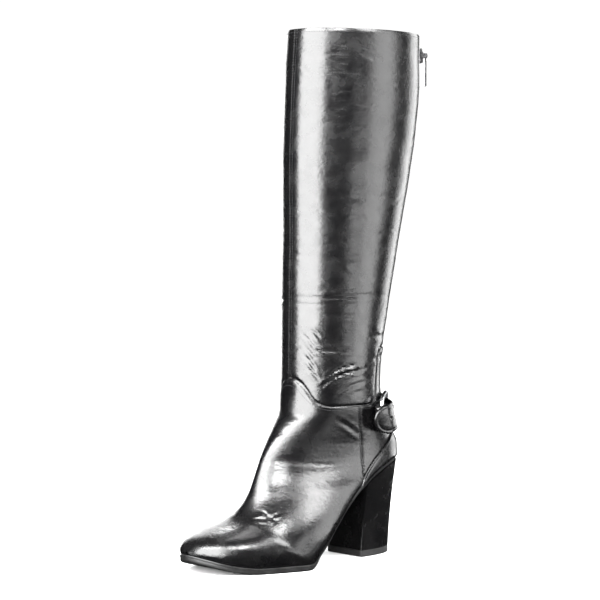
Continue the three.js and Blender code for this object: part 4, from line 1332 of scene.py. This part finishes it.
STRAP_ROWS = (
    (-82, 0),
    (-76, 0),
    (0, 0),
    (30, 0),
    (47, 0.42),
    (61, 1.02),
    (69, 1.06),
    (74, 0.98),
    (78, 0.88),
    (81, 0.80),
    (84, 0.73),
)
CHAPE_ROWS = (
    (42, 0, 0),
    (52, 0, 0.02),
    (58, 0, 0.42),
    (63, 0.02, 0.84),
    (68, 0.12, 1.00),
    (72, 0.30, 0.92),
    (75, 0.72, 0.62),
)


def strap_height(turn):
    return ANKLE_HEIGHT - STRAP_BELOW_ANKLE - STRAP_SLOPE * (1 - np.cos(turn))


def strap_point(uv, grow):
    """Points over the ankle at turns in degrees and heights over the strap's own middle."""
    turn = np.radians(uv[:, 0])
    return level_point(turn, strap_height(turn) + uv[:, 1], grow)


def turn_length(turn):
    """Distance along the strap's middle from the middle of the back, in millimetres."""
    dense = np.linspace(-120, 130, 126)
    line = strap_point(np.stack([dense, 0 * dense], 1), STRAP_BASE)
    length = np.concatenate([[0], np.cumsum(np.linalg.norm(np.diff(line, axis=0), axis=1))])
    length -= np.interp(0, dense, length)
    return np.interp(turn, dense, length)


def band_edge(first, last, half, nose):
    """Distance inside a strap between two turns; its last end is rounded if it has a nose."""
    start, end = turn_length(first), turn_length(last)

    def inside(uv):
        along = turn_length(uv[:, 0])
        ahead = np.maximum(0, along - (end - nose))
        side = half - np.hypot(np.abs(uv[:, 1]), ahead * half / nose) if nose else half - np.abs(uv[:, 1])
        return np.minimum.reduce([side, along - start, np.full(len(uv), CLEAR) if nose else end - along])

    return inside


def strap_sheet(turns, inside, holes, outer, inner):
    """A band over the ankle with rounded edges and punched holes."""
    steps = np.arange(turns[0], turns[1] + 1, 1.0)
    surface = grid(steps, np.linspace(-STRAP_WIDTH * 0.56, STRAP_WIDTH * 0.56, 29))
    surface = trim(surface, inside, (0.35, 0.9, 2.0, 2.9))
    depths = [inside]
    for turn in holes:
        def off_hole(uv, middle=turn_length(turn)):
            return np.hypot(turn_length(uv[:, 0]) - middle, uv[:, 1]) - HOLE_RADIUS

        surface = trim(surface, off_hole, (0.3,))
        depths.append(off_hole)

    def depth(uv):
        return np.minimum.reduce([at(uv) for at in depths])

    return sheet_mesh(surface, outer, inner, depth, 0.6, shape=strap_point)


def lifted(rows, key):
    return between([row[0] for row in rows], [row[key] for row in rows])


def ankle_strap():
    share = lifted(STRAP_ROWS, 1)
    inside = band_edge(-82, 83.5, STRAP_WIDTH / 2, 11)

    def low(uv):
        return STRAP_BASE + (LOOP_HIGH + GAP - STRAP_BASE) * share(uv[:, 0])

    def high(uv):
        stitched = trough(inside(uv) - EDGE_STITCH, 0.5, 0.25)
        swell = 0.35 * smoothstep(2.6, 6, inside(uv))
        return low(uv) + STRAP_THICKNESS - 0.2 + swell + stitched

    points, faces = strap_sheet((-84, 86), inside, HOLE_TURNS, high, low)
    made = mesh_object("strap", points, faces, LEATHER)
    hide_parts("ankle_strap")
    return made, inside, high


def buckle_chape():
    low_share, high_share = lifted(CHAPE_ROWS, 1), lifted(CHAPE_ROWS, 2)
    inside = band_edge(42, 75, STRAP_WIDTH / 2 - 1, 0)

    def low(uv):
        return STRAP_BASE + (LOOP_LIFT - STRAP_BASE) * low_share(uv[:, 0])

    def high(uv):
        top = STRAP_BASE + CHAPE_THICKNESS
        return top + (LOOP_HIGH - top) * high_share(uv[:, 0])

    points, faces = strap_sheet((41, 76), inside, (), high, low)
    made = mesh_object("chape", points, faces, LEATHER)
    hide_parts("buckle_chape")
    return made


def strap_axes(turn, standoff, tilt):
    """Axes on the strap's own slope, tilted so that the front stands further out."""
    step = 0.1
    made = Axes(turn, float(strap_height(turn)), standoff)
    ahead = level_point(turn + step, strap_height(turn + step), standoff)
    behind = level_point(turn - step, strap_height(turn - step), standoff)
    way = placed(ahead) - placed(behind)
    way = unit(way)
    side = unit(np.cross(way, made.out))
    made.along = unit(way * math.cos(tilt) + np.cross(side, way) * math.sin(tilt))
    made.out = unit(np.cross(side, made.along))
    made.up = unit(np.cross(made.along, made.out))
    return made


BUCKLE = strap_axes(math.radians(BUCKLE_TURN), BUCKLE_STANDOFF, math.radians(BUCKLE_TILT))


def buckle_loop():
    """The buckle's frame as a closed path, corner by corner."""
    path = []
    for quarter, (su, sv) in enumerate(((1, 1), (-1, 1), (-1, -1), (1, -1))):
        middle = np.array((su * (BAR_LONG - BUCKLE_CORNER), sv * (BAR_HIGH - BUCKLE_CORNER)))
        for turn in np.radians(90 * quarter + np.linspace(0, 90, 9)):
            path.append(middle + BUCKLE_CORNER * np.array((math.cos(turn), math.sin(turn))))
    path = np.array(path)
    loop = np.concatenate([path, path[:1]])
    even = resample(loop, 97)[:-1]
    return BUCKLE.at(even[:, 0], even[:, 1], np.zeros(len(even)))


def buckle_frame():
    path = buckle_loop()
    normals = np.broadcast_to(BUCKLE.out, path.shape)
    made = hardware("buckle_ring", [tube(path, BAR_RADIUS, 18, True, 0.92, normals)], METAL)
    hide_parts("buckle_frame")
    return made


def buckle_prong():
    share = np.linspace(0, 1, 24)
    start = np.array((BAR_LONG, 0, BAR_RADIUS + PRONG_RADIUS / 2))
    tip = np.array((-BAR_LONG - 3, 0, BAR_RADIUS + PRONG_RADIUS + GAP))
    line = start + (tip - start) * share[:, None]
    radius = PRONG_RADIUS * np.sqrt(np.clip(1 - ((share - 0.92) / 0.08).clip(0, 1) ** 2, 0.02, 1))
    rod = tube(BUCKLE.at(*line.T), radius, 14)
    roll = np.linspace(0, 2 * np.pi, 33)[:-1]
    reach = BAR_RADIUS + GAP + 0.8
    eye = BUCKLE.at(BAR_LONG + reach * np.cos(roll), 0 * roll, reach * np.sin(roll))
    flat = np.broadcast_to(BUCKLE.up, eye.shape)
    made = hardware("buckle_tongue", [rod, tube(eye, 0.8, 12, True, 1.6, flat)], METAL)
    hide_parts("buckle_prong")
    return made


# The elastic panel, the zip and its teeth


def gore_panel():
    places = even_places(0, len(SHAFT_ROWS) - 1, 2.5)
    angles = np.linspace(math.pi, math.pi * 1.45, 60)
    surface = trim(grid(places, angles), lambda uv: -outside_gore(uv) - GAP)

    def ribbed(uv):
        return -0.45 + relief(uv) * 0.5

    points, faces = sheet_mesh(surface, ribbed, level(-SHAFT_WALL), far_away, 0.1)
    made = mesh_object("elastic_panel", points, faces, ELASTIC)
    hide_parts("stretch_panel")
    return made


TOOTH_PITCH = 2.2
TOOTH = (1.9, 1.15, 1.1)


def zip_axes(height):
    half = level_point(math.pi / 2, height, 0)[0]
    return Axes(math.asin(ZIP_ASIDE / half), height, -0.35)


def brick(axes, middle, size):
    """A block with its outer edges cut back."""
    (u, v, w), (su, sv, sw) = middle, size
    rings = []
    for inset, lift in ((0, -sw / 2), (0, sw / 2 - 0.25), (0.25, sw / 2)):
        hu, hv = su / 2 - inset, sv / 2 - inset
        corners = np.array([(-hu, -hv), (hu, -hv), (hu, hv), (-hu, hv)])
        rings.append(axes.at(u + corners[:, 0], v + corners[:, 1], w + lift + 0 * corners[:, 0]))
    return capped(rings)


def zip_teeth():
    parts = []
    low, high = BACK_EDGE + 1.5, BOOT_HEIGHT - ZIP_TOP_MARGIN - 1
    count = int((high - low) / TOOTH_PITCH)
    for i in range(count):
        height = low + i * TOOTH_PITCH
        if i % 6 == 0:
            axes, base = zip_axes(height), height
        rise = (height - base) / max(axes.up[2], 0.5)
        parts.append(brick(axes, (-0.95, rise, 0.35), (TOOTH[0] + 0.6, *TOOTH[1:])))
        parts.append(brick(axes, (0.95, rise + TOOTH_PITCH / 2, 0.35), (TOOTH[0] + 0.6, *TOOTH[1:])))
    made = hardware("teeth", parts, TEETH_METAL)
    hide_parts("zip_teeth")
    return made


def zip_cloth():
    """The woven bands that hold the teeth, inside the slot."""
    places = even_places(0, len(SHAFT_ROWS) - 1, 3)
    surface = grid(places, np.linspace(math.pi * 0.5, math.pi, 90))
    half = TAPE_WIDTH / 2
    box = ((ZIP_ASIDE - half, ZIP_ASIDE + half), (BACK_EDGE, BOOT_HEIGHT - 3))
    surface = trim(surface, lambda uv: -outside_box(uv, *box))
    points, faces = sheet_mesh(surface, level(-SHAFT_WALL + 0.5), level(-SHAFT_WALL - 0.2), far_away, 0.1)
    made = mesh_object("zip_cloth", points, faces, TAPE)
    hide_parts("zip_tape")
    return made


def kept(name, finish, bevel=None):
    """A CAD solid that stays as it is, with a finish and eased edges."""
    node = frame["nodes"][name]
    node.data.materials.clear()
    node.data.materials.append(finish)
    if bevel:
        soft = node.modifiers.new("eased", "BEVEL")
        soft.width = bevel * MM
        soft.segments = 2
        soft.limit_method = "ANGLE"
        soft.angle_limit = math.radians(35)
    return node


# Stitches and beads along lines of a surface
STITCH_PITCH = 2.4
STITCH_LENGTH = 1.65
STITCH_RADIUS = 0.2
EDGE_STITCH = 2.4
SEAM_STITCH = 1.7
COUNTER_STITCH = 1.9
STITCH_STEP = 3.0
STITCH_AROUND = 181
FRONT_ONLY = 0.3
BEAD_STEP = 2.0


def laid(line, growth, shape=form_at):
    """Points and outward ways along a line on a piece's surface."""
    grow = growth(line)
    base, over = placed(shape(line, grow)), placed(shape(line, grow + 1))
    return base / MM, unit(over - base)


def spaced(points, outs, pitch):
    """Even steps along a line: middles, ways and outward ways."""
    length = np.concatenate([[0], np.cumsum(np.linalg.norm(np.diff(points, axis=0), axis=1))])
    at = np.arange(pitch / 2, length[-1] - pitch / 4, pitch)
    middle, behind, ahead, out = (
        np.stack([np.interp(where, length, values[:, k]) for k in range(3)], 1)
        for where, values in ((at, points), (at - 0.5, points), (at + 0.5, points), (at, outs))
    )
    return middle, unit(ahead - behind + 1e-9), unit(out)


def stitch_bodies(points, outs):
    roll = 2 * np.pi * np.arange(6) / 6
    for middle, way, out in zip(*spaced(points, outs, STITCH_PITCH)):
        side = np.cross(way, out)
        circle = np.outer(np.cos(roll), out) + np.outer(np.sin(roll), side)
        rings = []
        for share, wide in ((-1, 0.4), (-0.7, 0.9), (0, 1), (0.7, 0.9), (1, 0.4)):
            sunk = STITCH_RADIUS * (0.1 + 0.5 * share * share)
            centre = middle + way * (share * STITCH_LENGTH / 2) - out * sunk
            rings.append(centre + STITCH_RADIUS * wide * circle)
        yield capped(rings)


def stitches(strap_inside, strap_high):
    """All rows of thread on the boot."""
    angles = np.linspace(-math.pi, math.pi, STITCH_AROUND)
    leg = trim(grid(even_places(0, len(SHAFT_ROWS) + 3, STITCH_STEP), angles), above_top)
    foot = grid(even_places(FOOT_FIRST, LAST_SECTION, STITCH_STEP), angles)
    foot = trim(trim(foot, below_top), above_seat)
    band = grid(np.arange(-84, 86.5, 1.5), np.linspace(-STRAP_WIDTH / 2, STRAP_WIDTH / 2, 21))

    def collar(uv):
        return BOOT_HEIGHT - form_at(uv, 0)[:, 2]

    rows = [
        (leg, lambda uv: front_seam(uv) - SEAM_STITCH, leg_growth, form_at),
        (leg, lambda uv: front_seam(uv) + SEAM_STITCH, leg_growth, form_at),
        (leg, lambda uv: outside_slot(uv) - EDGE_STITCH, leg_growth, form_at),
        (leg, lambda uv: outside_gore(uv) - EDGE_STITCH, leg_growth, form_at),
        (leg, lambda uv: collar(uv) - 1.3 * EDGE_STITCH, leg_growth, form_at),
        (foot, lambda uv: below_top(uv) - EDGE_STITCH, foot_growth, form_at),
        (foot, lambda uv: side_seam(uv) + 1.6, foot_growth, form_at),
        (trim(foot, in_counter), lambda uv: in_counter(uv) - COUNTER_STITCH, counter_growth, form_at),
        (band, lambda uv: strap_inside(uv) - EDGE_STITCH, strap_high, strap_point),
    ]
    parts = []
    for surface, values, growth, shape in rows:
        for line in contours(surface, values):
            if values in (rows[0][1], rows[1][1]):
                line = line[np.cos(line[:, 1]) > FRONT_ONLY]
            if len(line) > 3:
                parts.extend(stitch_bodies(*laid(line, growth, shape)))
    points, faces = joined(parts)
    return mesh_object("stitches", points * MM, faces, THREAD, sharp=80)


def bead():
    """The rolled edge along the top of the counter."""
    angles = np.linspace(0.1, 2 * math.pi - 0.1, STITCH_AROUND)
    surface = trim(grid(even_places(*COUNTER_PLACES, BEAD_STEP), angles), above_seat)
    parts = []
    for line in contours(surface, lambda uv: in_counter(uv) - 0.2, 30):
        points, outs = laid(line, counter_growth)
        middle, _, _ = spaced(points, outs, 1.5)
        parts.append(tube(middle - 0.15, 0.55, 8))
    return hardware("counter_bead", parts, LEATHER)


# The view: the photograph's own angle, drawn back to take in the whole boot
VIEW_TURN = math.radians(48)
VIEW_RISE = math.radians(3.5)
VIEW_TARGET = Vector((0, -0.040, 0.190))
VIEW_DISTANCE = 1.9
SENSOR = 36
IMAGE = 600
FRAMED = 545


def light(name, turn, rise, distance, size, power, target=(0, -0.04, 0.22)):
    """A soft box that faces the boot from a turn round it and a rise over the floor."""
    lamp = bpy.data.lights.new(name, "AREA")
    lamp.shape = "RECTANGLE"
    lamp.size, lamp.size_y = size
    lamp.energy = power
    turn, rise = math.radians(turn), math.radians(rise)
    way = Vector((math.sin(turn) * math.cos(rise), -math.cos(turn) * math.cos(rise), math.sin(rise)))
    made = bpy.data.objects.new(name, lamp)
    made.location = Vector(target) + way * distance
    made.rotation_euler = way.to_track_quat("Z", "Y").to_euler()
    made.visible_camera = False
    bpy.context.scene.collection.objects.link(made)
    return made


def card(turn, distance, size, power):
    """A dim panel lying on the floor, which only the gloss shows."""
    made = light("floor_card", turn, 0, distance, size, power, (0, -0.04, 0.006))
    made.rotation_euler = (math.pi, 0, math.radians(turn))


def camera():
    """The photograph's eye, turned to the middle of the whole boot."""
    way = Vector((math.sin(VIEW_TURN), -math.cos(VIEW_TURN), math.tan(VIEW_RISE))).normalized()
    eye = VIEW_TARGET + way * VIEW_DISTANCE
    uv, _ = grid(np.linspace(0, LAST_SECTION, 90), np.linspace(-math.pi, math.pi, 60))
    heel = [[0, ORIGIN_FORWARD * MM, 0]]
    seen = np.concatenate([placed(form_at(uv, 1)), heel]) - np.array(eye)
    back = way
    for _ in range(3):
        right = Vector((-back.y, back.x, 0)).normalized()
        up = back.cross(right)
        depth = -(seen @ np.array(back))
        flat = np.stack([seen @ np.array(right), seen @ np.array(up)], 1) / depth[:, None]
        low, high = flat.min(0), flat.max(0)
        aside, above = (low + high) / 2
        back = (back - right * float(aside) - up * float(above)).normalized()
    data = bpy.data.cameras.new("view")
    data.type = "PERSP"
    data.sensor_width = SENSOR
    data.lens = FRAMED / (high - low).max() * SENSOR / IMAGE
    made = bpy.data.objects.new("view", data)
    made.location = eye
    made.rotation_euler = back.to_track_quat("Z", "Y").to_euler()
    bpy.context.scene.collection.objects.link(made)
    bpy.context.scene.camera = made


FLOOR_REACH = 40


def floor():
    mesh = bpy.data.meshes.new("floor")
    corners = [(-1, -1, 0), (1, -1, 0), (1, 1, 0), (-1, 1, 0)]
    mesh.from_pydata([Vector(corner) * FLOOR_REACH for corner in corners], [], [(0, 1, 2, 3)])
    made = bpy.data.objects.new("floor", mesh)
    made.data.materials.append(material("pale_floor", (0.8, 0.8, 0.8), 0.9, specular=0))
    bpy.context.scene.collection.objects.link(made)
    made.visible_glossy = False


SKY = 1.35
SEEN_SKY = 1.05
DIM_SKY = 0.02


def world():
    """An even pale room whose light is dim where the gloss would mirror it."""
    made = bpy.data.worlds.new("studio")
    made.use_nodes = True
    nodes, links = made.node_tree.nodes, made.node_tree.links
    room = nodes["Background"]
    room.inputs["Color"].default_value = (1, 1, 1, 1)
    rays = nodes.new("ShaderNodeLightPath")
    mirrored = nodes.new("ShaderNodeMapRange")
    mirrored.inputs["To Min"].default_value = SKY
    mirrored.inputs["To Max"].default_value = DIM_SKY
    seen = nodes.new("ShaderNodeMapRange")
    seen.inputs["To Max"].default_value = SEEN_SKY
    links.new(rays.outputs["Is Glossy Ray"], mirrored.inputs["Value"])
    links.new(mirrored.outputs["Result"], seen.inputs["To Min"])
    links.new(rays.outputs["Is Camera Ray"], seen.inputs["Value"])
    links.new(seen.outputs["Result"], room.inputs["Strength"])
    bpy.context.scene.world = made


# Soft boxes: turn round the boot, rise over the floor, distance, width and height, power
LIGHTS = {
    "left_box": (15, 8, 1.4, (1.7, 1.5), 140),
    "right_box": (129, 8, 1.4, (0.7, 1.2), 14),
    "ridge_box": (14, 43, 1.3, (1.0, 0.26), 30),
    "instep_box": (65, 38, 1.3, (0.5, 0.3), 20),
    "vamp_box": (110, 42, 1.3, (0.4, 0.7), 17),
    "toe_top_box": (-118, 40, 1.3, (0.22, 0.4), 5),
    "top_box": (-150, 78, 1.4, (0.5, 0.6), 5),
    "side_box": (104, 0, 1.4, (0.4, 0.3), 2),
    "back_box": (184, 10, 1.6, (0.7, 1.3), 12),
    "inner_box": (-112, 12, 1.6, (0.5, 1.3), 7),
}


def studio():
    floor()
    for name, row in LIGHTS.items():
        light(name, *row)
    card(120, 0.75, (0.7, 0.8), 3)
    world()
    camera()
    bpy.context.scene.view_settings.view_transform = "Standard"


leg_skin()
leg_lining()
foot_skin()
foot_lining()
sole()
heel_block()
heel_lift()
counter()
bead()
_, strap_inside, strap_high = ankle_strap()
stitches(strap_inside, strap_high)
buckle_chape()
buckle_frame()
buckle_prong()
gore_panel()
zip_teeth()
zip_cloth()
insole()
kept("zip_slider", METAL, 0.3)
kept("zip_pull", METAL, 0.25)
studio()
